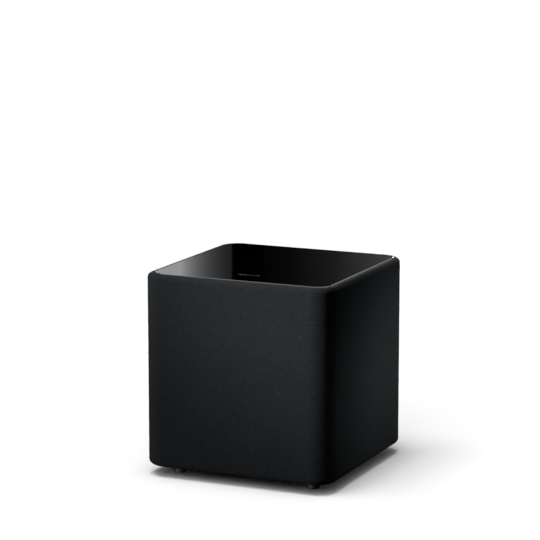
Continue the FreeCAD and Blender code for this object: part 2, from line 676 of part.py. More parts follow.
def make_surround():
    """Two flat lips joined by a half roll that stands forward of them."""
    middle = "(cone_edge + roll_radius)"
    outer, inner = "roll_radius", "(roll_radius - roll_thick)"
    front, back = "cone_front - roll_thick - glue_line", "cone_front - glue_line"
    lip = "flange_ledge - screw_slack"
    driver_ring("surround", [
        ("cone_lip", front), (middle + " - " + outer, front),
        (middle, front + " - " + outer, outer, 1), (middle + " + " + outer, front, outer, 1),
        (lip, "ledge_deep - roll_thick"), (lip, "ledge_deep"),
        (middle + " + " + inner, back),
        (middle, front + " - " + inner, outer, -1), (middle + " - " + inner, back, outer, -1),
        ("cone_lip", back)])


def make_cone():
    neck = "cone_neck"
    driver_ring("cone", [
        ("cone_edge", "cone_front"), ("cone_edge", "cone_front + cone_thick"),
        ("cone_lip + cone_thick / 2", "cone_front + cone_thick"),
        (neck, "cone_deep + cone_thick * 1.5"), (neck, "cone_deep"), ("cone_lip", "cone_front")])


def make_dust_cap():
    slope = "(cone_deep - cone_front) / (cone_lip - cone_neck)"
    seat = "(cone_front + (cone_lip - cap_radius) * %s - cap_thick * 1.5)" % slope
    peak = seat + " - cap_rise"
    driver_ring("dust_cap", [
        ("0", peak), ("cap_radius", seat, "cap_sphere", -1),
        ("cap_radius - cap_thick", seat + " + cap_lip"),
        ("0", peak + " + cap_thick", "cap_sphere", 1)])


def make_coil():
    driver_ring("coil_former", box_outline("former_inner", "former_front",
                                           "former_inner + former_thick", "former_back"))
    driver_ring("voice_coil", box_outline("former_inner + former_thick + coil_slack", "coil_front",
                                          "coil_outer", "coil_back"))


def make_spider():
    """A corrugated disc from the former to the basket's landing."""
    inner = "(former_inner + former_thick + coil_slack)"
    outer = "(landing_outer - basket_wall - screw_slack)"
    pitch = "((landing_inner - spider_flat - %s) / %d)" % (inner, 2 * SPIDER_WAVES)
    middle = "(landing_deep - spider_thick)"
    front, back = [], []
    for step in range(2 * SPIDER_WAVES + 1):
        sway = 0 if step in (0, 2 * SPIDER_WAVES) else (-1) ** step
        up = "%s + %d * spider_wave / 2" % (middle, sway)
        front.append(("%s + %d * %s" % (inner, step, pitch), up))
        back.insert(0, ("%s + %d * %s" % (inner, step, pitch), up + " + spider_thick"))
    rim = [(outer, middle), (outer, middle + " + spider_thick")]
    driver_ring("spider", front + rim + back)


def make_motor():
    plate_front, magnet_front = "basket_deep", "basket_deep + plate_thick"
    yoke_front = "basket_deep + plate_thick + magnet_thick"
    driver_ring("top_plate", box_outline("gap_outer", plate_front, "basket_back", magnet_front))
    magnet = driver_ring("magnet", box_outline("magnet_inner", magnet_front,
                                               "magnet_outer", yoke_front))
    ease(magnet, "cap_thick", lambda edge: edge.BoundBox.XMax > value("magnet_outer") - 1e-3
         and not runs_along(edge, 1))
    driver_ring("back_plate", [
        ("pole_vent", plate_front), ("pole_radius", plate_front), ("pole_radius", yoke_front),
        ("basket_back", yoke_front), ("basket_back", yoke_front + " + plate_thick"),
        ("pole_vent", yoke_front + " + plate_thick")])


def make_terminal_strip():
    body = new_body("terminal_strip")
    front = "landing_deep + basket_wall"
    high = "(-landing_outer - screw_slack)"
    pad(body, "XZ", front, front + " + tag_thick",
        box_outline("-tag_wide / 2", high + " - tag_tall", "tag_wide / 2", high))
    blades = [centred_outline("tag_blade / 2", "tag_blade_thick / 2", "%d * tag_blade" % side,
                              "(%s - tag_tall / 2)" % high) for side in (1, -1)]
    pad(body, "XZ", front + " + tag_thick", front + " + tag_thick + tag_blade_long", *blades)
    place(body, "0", FLANGE_FRONT, MIDDLE)


def make_driver_screws():
    body = new_body("driver_screws")
    spots = ring_spots("screw_circle", GROUP_SCREWS)
    pad(body, "XZ", "0", "-screw_head_tall", *[(x, z, "screw_head") for x, z in spots])
    pad(body, "XZ", "0", "screw_long", *[(x, z, "screw_radius") for x, z in spots])
    pocket(body, "XZ", "-screw_head_tall", "socket_deep - screw_head_tall",
           *[(x, z, "socket_radius") for x, z in spots])
    place(body, "0", FLANGE_FRONT, MIDDLE)


# ---------------------------------------------------------------- amplifier
def amp_screw_spots():
    """Four corners, and the middle of each long and short side."""
    reach_x = "(dish_flange_x - amp_screw_in)"
    reach_z = "(dish_flange_z - amp_screw_in)"
    steps = [(sx, sz) for sx in (-1, 0, 1) for sz in (-1, 0, 1) if (sx, sz) != (0, 0)]
    return [("%d * %s" % (sx, reach_x), "%s + %d * %s" % (MIDDLE, sz, reach_z)) for sx, sz in steps]


def up_from_middle(offset):
    return "%s + %s" % (MIDDLE, offset)


def phono_spots():
    return [("(phono_x + %s phono_apart / 2)" % sign, up_from_middle("-phono_z")) for sign in "+-"]


def switch_spots():
    """Phase, equaliser and power-mode switches."""
    return [("-switch_x", up_from_middle("knob_z - knob_radius")),
            ("switch_x", up_from_middle("switch_z")), ("0", up_from_middle("switch_z"))]


def knob_spots():
    """Volume and crossover knobs."""
    return [("knob_x", up_from_middle("knob_z")), ("0", up_from_middle("knob_z"))]


def make_amp_plate():
    """A deep-drawn dish whose floor carries the controls, with a flange that seals on the cabinet."""
    body = new_body("amp_plate")
    outside, flange_back = "deep / 2", "deep / 2 - flange_plate"
    pad(body, "XZ", outside, flange_back,
        centred_outline("dish_flange_x", "dish_flange_z", "0", MIDDLE))
    ease(body, "dish_round", lambda edge: runs_along(edge, 1))
    pad(body, "XZ", flange_back, PLATE_BACK, centred_outline("dish_x", "dish_z", "0", MIDDLE))
    pocket(body, "XZ", outside, PLATE_FACE,
           centred_outline("(dish_x - dish_wall)", "(dish_z - dish_wall)", "0", MIDDLE))
    rounds = [(x, z, "bush_radius + bush_slack") for x, z in knob_spots()]
    rounds += [(x, z, "phono_neck + bush_slack") for x, z in phono_spots()]
    rounds.append(("-jack_x", up_from_middle("jack_z"), "jack_neck + bush_slack"))
    rounds.append(("-lens_x", up_from_middle("lens_z + knob_radius"), "lens_radius + lens_slack"))
    slots = [centred_outline("slot_x", "slot_z", x, z) for x, z in switch_spots()]
    slots.append(centred_outline("(case_x + case_slack)", "(case_z + case_slack)",
                                 "rocker_x", up_from_middle("-rocker_z")))
    slots.append(inlet_outline("(inlet_half_x - inlet_case_in + case_slack)",
                               "(inlet_top - inlet_case_in + case_slack)",
                               "(inlet_foot - inlet_case_in + case_slack)"))
    slots.append(centred_outline("(block_half_x + block_slack)", "(block_half_z + block_slack)",
                                 "-block_x", up_from_middle("-block_z")))
    pocket(body, "XZ", PLATE_FACE, PLATE_BACK, *rounds, *slots)
    pocket(body, "XZ", outside, flange_back,
           *[(x, z, "screw_radius + screw_slack") for x, z in amp_screw_spots()])
    pocket(body, "XZ", outside, outside + " - amp_head_tall - screw_slack / 2",
           *[(x, z, "screw_head + screw_slack") for x, z in amp_screw_spots()])


def inlet_outline(half, top, foot):
    """A box round the mains inlet, reaching further down than up."""
    middle = up_from_middle("-inlet_z")
    return box_outline("-inlet_x - %s" % half, "%s - %s" % (middle, foot),
                       "-inlet_x + %s" % half, "%s + %s" % (middle, top))


def make_amp_gasket():
    body = new_body("amp_gasket")
    front = "deep / 2 - flange_plate"
    pad(body, "XZ", front, front + " - amp_gasket_thick",
        centred_outline("dish_flange_x", "dish_flange_z", "0", MIDDLE))
    pocket(body, "XZ", front, front + " - amp_gasket_thick",
           centred_outline("opening_x", "opening_z", "0", MIDDLE),
           *[(x, z, "screw_radius + screw_slack") for x, z in amp_screw_spots()])


def make_amp_screws():
    """Screws whose heads lie in shallow counterbores, flush with the flange."""
    body = new_body("amp_screws")
    face, spots = "deep / 2", amp_screw_spots()
    pad(body, "XZ", face, face + " - amp_head_tall", *[(x, z, "screw_head") for x, z in spots])
    pad(body, "XZ", face + " - amp_head_tall", face + " - amp_screw_long",
        *[(x, z, "screw_radius") for x, z in spots])
    pocket(body, "XZ", face, face + " - amp_socket_deep",
           *[(x, z, "socket_radius") for x, z in spots])


def make_amp_board():
    body = new_body("amp_board")
    pad(body, "XZ", CIRCUIT_FACE, CIRCUIT_BACK,
        box_outline("-circuit_x", up_from_middle("-circuit_low"),
                    "circuit_x", up_from_middle("circuit_high")))


def make_standoffs():
    body = new_body("standoffs")
    reach = "(circuit_x - standoff_in)"
    spots = [("%d * %s" % (side, reach), up_from_middle(offset)) for side in (1, -1)
             for offset in ("circuit_high - standoff_in", "standoff_in - circuit_low")]
    pad(body, "XZ", PLATE_BACK, CIRCUIT_FACE, *[(x, z, "standoff_radius") for x, z in spots])


def make_heatsink():
    body = new_body("heatsink")
    low, high = up_from_middle("sink_low"), up_from_middle("sink_high")
    base_end = CIRCUIT_BACK + " - sink_base"
    pad(body, "XZ", CIRCUIT_BACK, base_end, box_outline("-sink_x", low, "sink_x", high))
    fin = pad(body, "XZ", base_end, CIRCUIT_BACK + " - sink_deep",
              box_outline("-sink_x + fin_thick", low, "-sink_x + 2 * fin_thick", high))
    repeat_across(body, fin, SINK_FINS, "(%d - 1) * fin_pitch" % SINK_FINS)


def make_transformer():
    """A ferrite core with its wound bobbin, standing on the circuit board."""
    body = new_body("transformer")
    across, up = "-core_at_x", up_from_middle("core_at_z")
    pad(body, "XZ", CIRCUIT_BACK, CIRCUIT_BACK + " - core_deep",
        centred_outline("core_x", "core_z", across, up))
    pad(body, "XZ", CIRCUIT_BACK, CIRCUIT_BACK + " - bobbin_deep",
        centred_outline("bobbin_x", "bobbin_z", across, up))


def make_capacitors():
    body = new_body("capacitors")
    spots = [("can_at_x + %d * can_pitch" % column, up_from_middle("can_at_z + %d * can_pitch" % row))
             for column in (0, 1) for row in (0, 1)]
    end = CIRCUIT_BACK + " - can_long"
    pad(body, "XZ", CIRCUIT_BACK, end, *[(x, z, "can_radius") for x, z in spots])
    ease(body, "can_bead", level_at(end, 1))


# ---------------------------------------------------------------- controls
def make_pots():
    body = new_body("pots")
    cases = [centred_outline("pot_half", "pot_half", x, z) for x, z in knob_spots()]
    pad(body, "XZ", CIRCUIT_FACE, CIRCUIT_FACE + " + pot_deep", *cases)
    pad(body, "XZ", CIRCUIT_FACE + " + pot_deep", PLATE_FACE,
        *[(x, z, "bush_radius") for x, z in knob_spots()])
    pocket(body, "XZ", PLATE_FACE, CIRCUIT_FACE + " + shaft_in / 2",
           *[(x, z, "shaft_radius + shaft_slack") for x, z in knob_spots()])


def make_knob(name, spot):
    across, up = spot
    shaft = new_body(name + "_shaft")
    pad(shaft, "XZ", CIRCUIT_FACE + " + shaft_in", CIRCUIT_FACE + " + shaft_in + shaft_long",
        (across, up, "shaft_radius"))
    knob = new_body(name + "_knob")
    turn(knob, "XY", [("0", "0"), ("knob_radius", "0"),
                      ("knob_radius - knob_flute / 2", "knob_tall - knob_skirt"),
                      ("knob_top", "knob_tall"), ("0", "knob_tall")])
    flute = pocket(knob, "XZ", "knob_skirt", "knob_tall",
                   ("knob_radius + knob_flute / 4", "0", "knob_flute"))
    repeat_round(knob, flute, KNOB_FLUTES)
    pocket(knob, "XZ", "0", "knob_bore_deep", ("0", "0", "shaft_radius + inlay_slack"))
    pocket(knob, "XZ", "knob_tall", "knob_tall - knob_flute",
           box_outline("-knob_mark / 2", "knob_radius / 3", "knob_mark / 2", "knob_radius"))
    place(knob, across, PLATE_FACE + " + knob_gap", up)


def make_switches():
    body = new_body("switch_bodies")
    face = PLATE_BACK + " - switch_gap"
    room_end = face + " - switch_room_deep"
    pad(body, "XZ", face, CIRCUIT_FACE,
        *[centred_outline("switch_half_x", "switch_half_z", x, z) for x, z in switch_spots()])
    pocket(body, "XZ", face, room_end,
           *[centred_outline("switch_room_x", "switch_room_z", x, z) for x, z in switch_spots()])
    starts = ("-phase_throw / 2", "0", "0")
    for name, start, spot in zip(("phase", "equaliser", "mode"), starts, switch_spots()):
        slider = new_body(name + "_slider")
        foot_back = room_end + " + slider_slack"
        foot_front = foot_back + " + slider_foot_deep"
        pad(slider, "XZ", foot_back, foot_front,
            centred_outline("slider_foot_x", "(switch_room_z - slider_slack)"))
        pad(slider, "XZ", foot_front, PLATE_FACE + " + slider_proud",
            centred_outline("slider_half", "slider_half"))
        pocket(slider, "XZ", PLATE_FACE + " + slider_proud",
               PLATE_FACE + " + slider_proud - slider_groove",
               centred_outline("slider_groove / 2", "slider_half"))
        place(slider, "%s + %s" % (spot[0], start), "0", spot[1])


def make_rocker_switch():
    middle = up_from_middle("-rocker_z")
    housing = new_body("rocker_housing")
    pad(housing, "XZ", PLATE_FACE, PLATE_FACE + " + bezel_thick",
        centred_outline("bezel_x", "bezel_z", "rocker_x", middle))
    pad(housing, "XZ", PLATE_FACE, PLATE_FACE + " - case_deep",
        centred_outline("case_x", "case_z", "rocker_x", middle))
    pocket(housing, "XZ", PLATE_FACE + " + bezel_thick", PLATE_FACE + " - room_deep",
           centred_outline("room_x", "room_z", "rocker_x", middle))
    pocket(housing, "YZ", "rocker_x - case_x", "rocker_x + case_x",
           (PLATE_FACE + " - rocker_pivot", middle, "rocker_pin + rocker_pin_slack"))
    rocker = new_body("power_rocker")
    pad(rocker, "YZ", "-rocker_half_x", "rocker_half_x",
        [("-rocker_rise", "0"), ("rocker_dip / 2", "-rocker_half_z"),
         ("rocker_pivot + bezel_thick + rocker_dip", "-rocker_half_z"),
         ("rocker_pivot + bezel_thick", "0"),
         ("rocker_pivot + bezel_thick + rocker_dip", "rocker_half_z"),
         ("rocker_dip / 2", "rocker_half_z")])
    pad(rocker, "YZ", "rocker_half_x", "case_x", ("0", "0", "rocker_pin"))
    pad(rocker, "YZ", "-rocker_half_x", "-case_x", ("0", "0", "rocker_pin"))
    place(rocker, "rocker_x", PLATE_FACE + " - rocker_pivot", middle)
    rocker.Placement = FreeCAD.Placement(rocker.Placement.Base, FreeCAD.Rotation(
        FreeCAD.Vector(1, 0, 0), value("rocker_tilt")))
    rocker.setExpression("Placement.Rotation.Angle", bound("rocker_tilt * 1 deg"))


def make_mains_inlet():
    body = new_body("mains_inlet")
    middle = up_from_middle("-inlet_z")
    face = PLATE_FACE + " + inlet_flange"
    pad(body, "XZ", PLATE_FACE, face, inlet_outline("inlet_half_x", "inlet_top", "inlet_foot"))
    pad(body, "XZ", PLATE_FACE, PLATE_FACE + " - inlet_deep",
        inlet_outline("(inlet_half_x - inlet_case_in)", "(inlet_top - inlet_case_in)",
                      "(inlet_foot - inlet_case_in)"))
    left, right = "-inlet_x - mouth_x", "-inlet_x + mouth_x"
    low, high = middle + " - mouth_foot", middle + " + mouth_top"
    pocket(body, "XZ", face, face + " - mouth_deep",
           [(left, low), (right, low), (right, high + " - mouth_bevel"),
            (right + " - mouth_bevel", high), (left + " + mouth_bevel", high),
            (left, high + " - mouth_bevel")])
    blades = [centred_outline("blade_z", "blade_x", "-inlet_x + %d * blade_apart" % side,
                              middle + " + blade_low") for side in (-1, 1)]
    blades.append(centred_outline("blade_z", "blade_x", "-inlet_x", middle + " + blade_high"))
    pad(body, "XZ", face + " - mouth_deep", face + " - mouth_deep + blade_long", *blades)
    pocket(body, "XZ", face, face + " - fuse_room_deep",
           box_outline("-inlet_x - fuse_room_x", middle + " - fuse_room_foot",
                       "-inlet_x + fuse_room_x", middle + " - fuse_room_top"))


def make_fuse_drawer():
    body = new_body("fuse_drawer")
    middle = up_from_middle("-inlet_z")
    face = PLATE_FACE + " + inlet_flange"
    left, right = "-inlet_x - fuse_room_x + fuse_slack", "-inlet_x + fuse_room_x - fuse_slack"
    low, high = middle + " - fuse_room_foot + fuse_slack", middle + " - fuse_room_top - fuse_slack"
    pad(body, "XZ", face + " + fuse_lip", face + " - fuse_room_deep + fuse_slack",
        box_outline(left, low, right, high))
    pocket(body, "XZ", face + " - fuse_lip", face + " - fuse_room_deep + fuse_lip",
           box_outline(left + " + fuse_lip", low + " + fuse_lip",
                       right + " - fuse_lip", high + " - fuse_lip"))
    pocket(body, "XZ", face + " + fuse_lip", face,
           box_outline(left + " + fuse_room_x / 2", high + " - fuse_lip - fuse_grip",
                       right + " - fuse_room_x / 2", high + " - fuse_lip"))


def make_phono_sockets():
    body = new_body("phono_sockets")
    spots = phono_spots()
    collar_face = PLATE_FACE + " + phono_collar_tall"
    tip = PLATE_FACE + " + phono_tall"
    pad(body, "XZ", PLATE_BACK, CIRCUIT_FACE,
        *[centred_outline("phono_half", "phono_half", x, z) for x, z in spots])
    pad(body, "XZ", PLATE_BACK, PLATE_FACE, *[(x, z, "phono_neck") for x, z in spots])
    pad(body, "XZ", PLATE_FACE, collar_face, *[(x, z, "phono_collar") for x, z in spots])
    pad(body, "XZ", collar_face, tip, *[(x, z, "phono_radius") for x, z in spots])
    pocket(body, "XZ", tip, tip + " - phono_deep",
           *[(x, z, "phono_radius - phono_wall") for x, z in spots])
    pad(body, "XZ", tip + " - phono_deep", tip + " - phono_core_in",
        *[(x, z, "phono_core") for x, z in spots])
    pocket(body, "XZ", tip, PLATE_BACK, *[(x, z, "phono_pin_hole") for x, z in spots])


def make_trigger_jack():
    body = new_body("trigger_jack")
    across, up = "-jack_x", up_from_middle("jack_z")
    face = PLATE_FACE + " + jack_collar_tall"
    pad(body, "XZ", PLATE_BACK, CIRCUIT_FACE, centred_outline("jack_half", "jack_half", across, up))
    pad(body, "XZ", PLATE_BACK, PLATE_FACE, (across, up, "jack_neck"))
    pad(body, "XZ", PLATE_FACE, face, (across, up, "jack_collar"))
    pocket(body, "XZ", face, face + " - jack_deep", (across, up, "jack_bore"))


def make_speaker_terminal():
    """A four-way screw block for speaker-level wires."""
    body = new_body("speaker_terminal")
    middle = up_from_middle("-block_z")
    face = PLATE_FACE + " + block_proud"
    pad(body, "XZ", face, CIRCUIT_FACE,
        centred_outline("block_half_x", "block_half_z", "-block_x", middle))
    steps = ("-1.5", "-0.5", "0.5", "1.5")
    pocket(body, "XZ", face, face + " - block_hole_deep",
           *[("-block_x + %s * block_pitch" % step, middle, "block_hole") for step in steps])


def make_status_lens():
    body = new_body("status_lens")
    across, up = "-lens_x", up_from_middle("lens_z + knob_radius")
    pad(body, "XZ", PLATE_BACK, PLATE_BACK + " - lens_flange_thick", (across, up, "lens_flange"))
    tip = PLATE_FACE + " + lens_proud"
    pad(body, "XZ", PLATE_BACK, tip, (across, up, "lens_radius"))
    ease(body, "lens_proud", level_at(tip, 1))


# ---------------------------------------------------------------- loudspeaker lead
def lead_path(points, radius):
    """A path of straight runs joined by tangent arcs."""
    edges = []
    start = points[0]
    for before, corner, after in zip(points, points[1:], points[2:]):
        to_before = (before - corner).normalize()
        to_after = (after - corner).normalize()
        half_angle = to_before.getAngle(to_after) / 2
        reach = radius / math.tan(half_angle)
        arc_start, arc_end = corner + to_before * reach, corner + to_after * reach
        bisector = (to_before + to_after).normalize()
        middle = corner + bisector * (radius / math.sin(half_angle) - radius)
        edges.append(Part.makeLine(start, arc_start))
        edges.append(Part.Arc(arc_start, middle, arc_end).toShape())
        start = arc_end
    edges.append(Part.makeLine(start, points[-1]))
    return Part.Wire(edges)


def make_driver_leads():
    """Two insulated wires from the circuit board, through the brace's window, to the tags."""
    start_y = value(FLANGE_FRONT + " + landing_deep + basket_wall + tag_thick + tag_blade_long")
    start_z = value(MIDDLE + " - landing_outer - screw_slack - tag_tall / 2")
    end_y, end_z = value(CIRCUIT_BACK), value(MIDDLE + " - circuit_low + standoff_in")
    through_z = value(INSIDE_LOW + " + brace_rail + lead_radius * 4")
    step, bend, radius = value("lead_step"), value("lead_bend"), value("lead_radius")
    tubes = []
    for side in (1, -1):
        apart = side * value("tag_blade")
        near = side * value("lead_apart") / 2
        points = [FreeCAD.Vector(apart, start_y, start_z),
                  FreeCAD.Vector(apart, start_y + step, start_z),
                  FreeCAD.Vector(near, start_y + 2 * step, through_z),
                  FreeCAD.Vector(near, end_y - 2 * step, through_z),
                  FreeCAD.Vector(near, end_y - step, end_z),
                  FreeCAD.Vector(near, end_y, end_z)]
        path = lead_path(points, bend)
        ring = Part.Wire(Part.makeCircle(radius, points[0], FreeCAD.Vector(0, 1, 0)))
        tubes.append(path.makePipeShell([ring], True, True))
        print("lead bend %.1f, length %.1f, volume against section times length %.4f" % (
            bend, path.Length, tubes[-1].Volume / (math.pi * radius ** 2 * path.Length)))
    leads = doc.addObject("Part::Feature", "driver_leads")
    leads.Shape = Part.makeCompound(tubes)
    leads.Label = "driver_leads"
    leads.Placement = FreeCAD.Placement()
    sub_parts.append(leads)


# ---------------------------------------------------------------- writing
def check_document():
    """Stops if any object failed or any sub-part has no valid solid."""
    doc.recompute()
    for item in doc.Objects:
        if "Invalid" in item.State or "Error" in item.State:
            raise RuntimeError("%s failed: %s" % (item.Label, item.State))
    for part in sub_parts:
        if part.Shape.isNull() or not part.Shape.isValid() or not part.Shape.Solids:
            raise RuntimeError("%s has no valid solid" % part.Label)


def write_parts():
    os.makedirs("parts", exist_ok=True)
    for part in sub_parts:
        part.Shape.exportStep("parts/%s.step" % part.Label)
    print("%d sub-parts written" % len(sub_parts))


def main():
    fill_sheet()
    make_bottom_tray()
    make_bottom_board()
    make_top_board()
    make_top_tray()
    make_side_panels()
    make_corner_posts()
    make_front_baffle()
    make_grille_frame()
    make_window_brace()
    make_wadding()
    make_rear_baffle()
    make_fabric_wrap()
    make_top_panel()
    make_top_inlay()
    make_feet()
    make_foot_screws()
    make_basket()
    make_driver_gasket()
    make_surround()
    make_cone()
    make_dust_cap()
    make_coil()
    make_spider()
    make_motor()
    make_terminal_strip()
    make_driver_screws()
    make_amp_plate()
    make_amp_gasket()
    make_amp_screws()
    make_amp_board()
    make_standoffs()
    make_heatsink()
    make_transformer()
    make_capacitors()
    make_pots()
    make_knob("volume", knob_spots()[0])
    make_knob("crossover", knob_spots()[1])
    make_switches()
    make_rocker_switch()
    make_mains_inlet()
    make_fuse_drawer()
    make_phono_sockets()
    make_trigger_jack()
    make_speaker_terminal()
    make_status_lens()
    make_driver_leads()
    check_document()
    write_parts()


main()
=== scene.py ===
"""The looks of a cloth-wrapped cube subwoofer: its sleeve, gloss panel, driver and amplifier dish.

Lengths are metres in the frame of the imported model: +Z is up and the front faces -Y.
"""

import math

import bmesh
import bpy
import numpy as np
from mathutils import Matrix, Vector, noise


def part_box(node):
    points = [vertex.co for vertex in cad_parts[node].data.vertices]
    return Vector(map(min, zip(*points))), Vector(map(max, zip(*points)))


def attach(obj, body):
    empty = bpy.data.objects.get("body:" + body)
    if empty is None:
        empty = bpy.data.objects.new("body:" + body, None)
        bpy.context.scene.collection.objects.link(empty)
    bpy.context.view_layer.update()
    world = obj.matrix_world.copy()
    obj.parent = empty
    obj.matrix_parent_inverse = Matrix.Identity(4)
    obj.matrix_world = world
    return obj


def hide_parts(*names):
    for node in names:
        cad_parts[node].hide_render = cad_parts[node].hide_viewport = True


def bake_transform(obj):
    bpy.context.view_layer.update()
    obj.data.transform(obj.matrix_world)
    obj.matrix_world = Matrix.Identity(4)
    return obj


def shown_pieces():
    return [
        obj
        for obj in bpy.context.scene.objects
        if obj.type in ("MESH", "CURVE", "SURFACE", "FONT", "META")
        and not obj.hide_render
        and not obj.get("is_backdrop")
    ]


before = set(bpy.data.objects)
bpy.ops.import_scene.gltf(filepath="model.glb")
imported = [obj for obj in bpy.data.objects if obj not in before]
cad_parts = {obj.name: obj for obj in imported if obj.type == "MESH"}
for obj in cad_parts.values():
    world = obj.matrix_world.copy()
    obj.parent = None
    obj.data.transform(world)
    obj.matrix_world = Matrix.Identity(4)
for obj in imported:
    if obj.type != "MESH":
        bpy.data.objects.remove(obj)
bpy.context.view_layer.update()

CABINET, CONE = "cabinet", "cone_assembly"
VOLUME, CROSSOVER = "volume_control", "crossover_control"
MM = 0.001


# ---------------------------------------------------------------- materials: building blocks
class Nodes:
    """A node tree, with short calls for the nodes that the materials share."""

    def __init__(self, tree):
        self.tree = tree

    def fill(self, socket, value):
        """Links an input, or sets its number, vector or colour."""
        if isinstance(value, bpy.types.NodeSocket):
            self.tree.links.new(value, socket)
        elif isinstance(value, (tuple, list)) and socket.type == "RGBA":
            socket.default_value = (*value[:3], 1.0)
        else:
            socket.default_value = value

    def add(self, kind, output=0, settings=(), **inputs):
        """Adds a node and returns an output; inputs go by name, or by number as i0, i1."""
        node = self.tree.nodes.new("ShaderNode" + kind)
        for name, setting in dict(settings).items():
            setattr(node, name, setting)
        for name, value in inputs.items():
            numbered = name[0] == "i" and name[1:].isdigit()
            key = int(name[1:]) if numbered else name.replace("_", " ")
            self.fill(node.inputs[key], value)
        return node.outputs[output]

    def place(self):
        return self.add("TexCoord", "Object")

    def flat_place(self, layer):
        return self.add("UVMap", settings={"uv_map": layer})

    def stretched(self, vector, x, y, z):
        return self.add("VectorMath", settings={"operation": "MULTIPLY"}, i0=vector, i1=(x, y, z))

    def noise(self, vector, scale, detail=2.0, roughness=0.5):
        return self.add("TexNoise", "Fac", Vector=vector, Scale=scale, Detail=detail,
                        Roughness=roughness)

    def math(self, operation, first, second=0.0):
        return self.add("Math", settings={"operation": operation}, i0=first, i1=second)

    def axis(self, vector, letter):
        return self.add("SeparateXYZ", letter.upper(), Vector=vector)

    def ramp(self, factor, *stops):
        """Maps a factor through grey or colour stops, each (place, grey or colour)."""
        node = self.tree.nodes.new("ShaderNodeValToRGB")
        self.fill(node.inputs["Fac"], factor)
        elements = node.color_ramp.elements
        while len(elements) < len(stops):
            elements.new(0.5)
        for element, (spot, colour) in zip(elements, stops):
            element.position = spot
            grey = isinstance(colour, (int, float))
            element.color = (colour, colour, colour, 1.0) if grey else (*colour, 1.0)
        return node.outputs["Color"]

    def mix(self, factor, first, second, blend="MIX"):
        node = self.tree.nodes.new("ShaderNodeMix")
        node.data_type = "RGBA"
        node.blend_type = blend
        for socket, value in zip((node.inputs[0], node.inputs[6], node.inputs[7]),
                                 (factor, first, second)):
            self.fill(socket, value)
        return node.outputs[2]

    def shade(self, colour, factor, low, high):
        """Multiplies a colour by a grey between low and high, as a factor goes from 0 to 1."""
        return self.mix(1.0, colour, self.ramp(factor, (0.25, low), (0.75, high)), "MULTIPLY")

    def inside(self, vector, low, high):
        """1 where the place lies between two corners; None leaves a side open."""
        gates = []
        for letter, start, end in zip("xyz", low, high):
            along = self.axis(vector, letter)
            if start is not None:
                gates.append(self.math("GREATER_THAN", along, start))
            if end is not None:
                gates.append(self.math("LESS_THAN", along, end))
        total = gates[0]
        for gate in gates[1:]:
            total = self.math("MULTIPLY", total, gate)
        return total


class Finish(Nodes):
    """A material built round one Principled shader."""

    def __init__(self, name, colour, roughness, **inputs):
        self.material = bpy.data.materials.new(name)
        self.material.use_nodes = True
        super().__init__(self.material.node_tree)
        self.shader = self.tree.nodes["Principled BSDF"]
        self.set("Base Color", colour)
        self.set("Roughness", roughness)
        for socket, amount in inputs.items():
            self.set(socket.replace("_", " "), amount)

    def set(self, socket, value):
        """Links the shader's socket, or sets its number or colour."""
        self.fill(self.shader.inputs[socket], value)

    def base(self):
        """What feeds the base colour so far."""
        return self.shader.inputs["Base Color"].links[0].from_socket

    def bump(self, height, depth, strength=1.0):
        self.set("Normal", self.add("Bump", Height=height, Distance=depth, Strength=strength))


def moulded(name, colour, roughness, grain=900.0, depth=0.00006):
    """Moulded plastic: a fine spark-eroded grain, and slow changes in its sheen."""
    finish = Finish(name, colour, roughness)
    place = finish.place()
    grain_height = finish.noise(place, grain, 3.0)
    clouds = finish.noise(place, 30.0)
    finish.set("Base Color", finish.shade(colour, clouds, 0.88, 1.12))
    finish.set("Roughness", finish.ramp(clouds, (0.3, roughness - 0.05), (0.7, roughness + 0.06)))
    finish.bump(grain_height, depth)
    return finish


def rubber(name, colour, roughness=0.85):
    finish = moulded(name, colour, roughness, 1500.0, 0.00004)
    finish.set("Specular IOR Level", 0.3)
    return finish


def metal(name, colour, roughness, streak=(1.0, 1.0, 1.0), grain=600.0, depth=0.00002):
    """Metal with tool marks; streak squeezes the marks along an axis where it is small."""
    finish = Finish(name, colour, roughness, Metallic=1.0)
    marks = finish.noise(finish.stretched(finish.place(), *streak), grain, 4.0, 0.6)
    finish.set("Base Color", finish.shade(colour, marks, 0.85, 1.1))
    finish.set("Roughness", finish.ramp(marks, (0.3, roughness - 0.08), (0.7, roughness + 0.1)))
    finish.bump(marks, depth)
    return finish


# ---------------------------------------------------------------- materials: cloth and fibre
THREAD, SPIDER_THREAD = 1.05 * MM, 0.9 * MM
CLOTH_COLOUR = (0.0225, 0.0257, 0.0283)


def woven(finish, flat, pitch):
    """The height, 0 to 1, of a plain weave on a flat place in metres."""
    across = finish.math("DIVIDE", finish.axis(flat, "x"), pitch)
    along = finish.math("DIVIDE", finish.axis(flat, "y"), pitch)
    over = finish.math("ADD", finish.math("FLOOR", across), finish.math("FLOOR", along))
    warp_on_top = finish.math("FLOORED_MODULO", over, 2.0)
    ridges = []
    for position in (across, along):
        swing = finish.math("SINE", finish.math("MULTIPLY", position, math.pi))
        ridges.append(finish.math("ABSOLUTE", swing))
    warp, weft = ridges
    low = finish.math("MULTIPLY", weft, finish.math("SUBTRACT", 1.0, warp_on_top))
    return finish.math("ADD", finish.math("MULTIPLY", warp, warp_on_top), low)


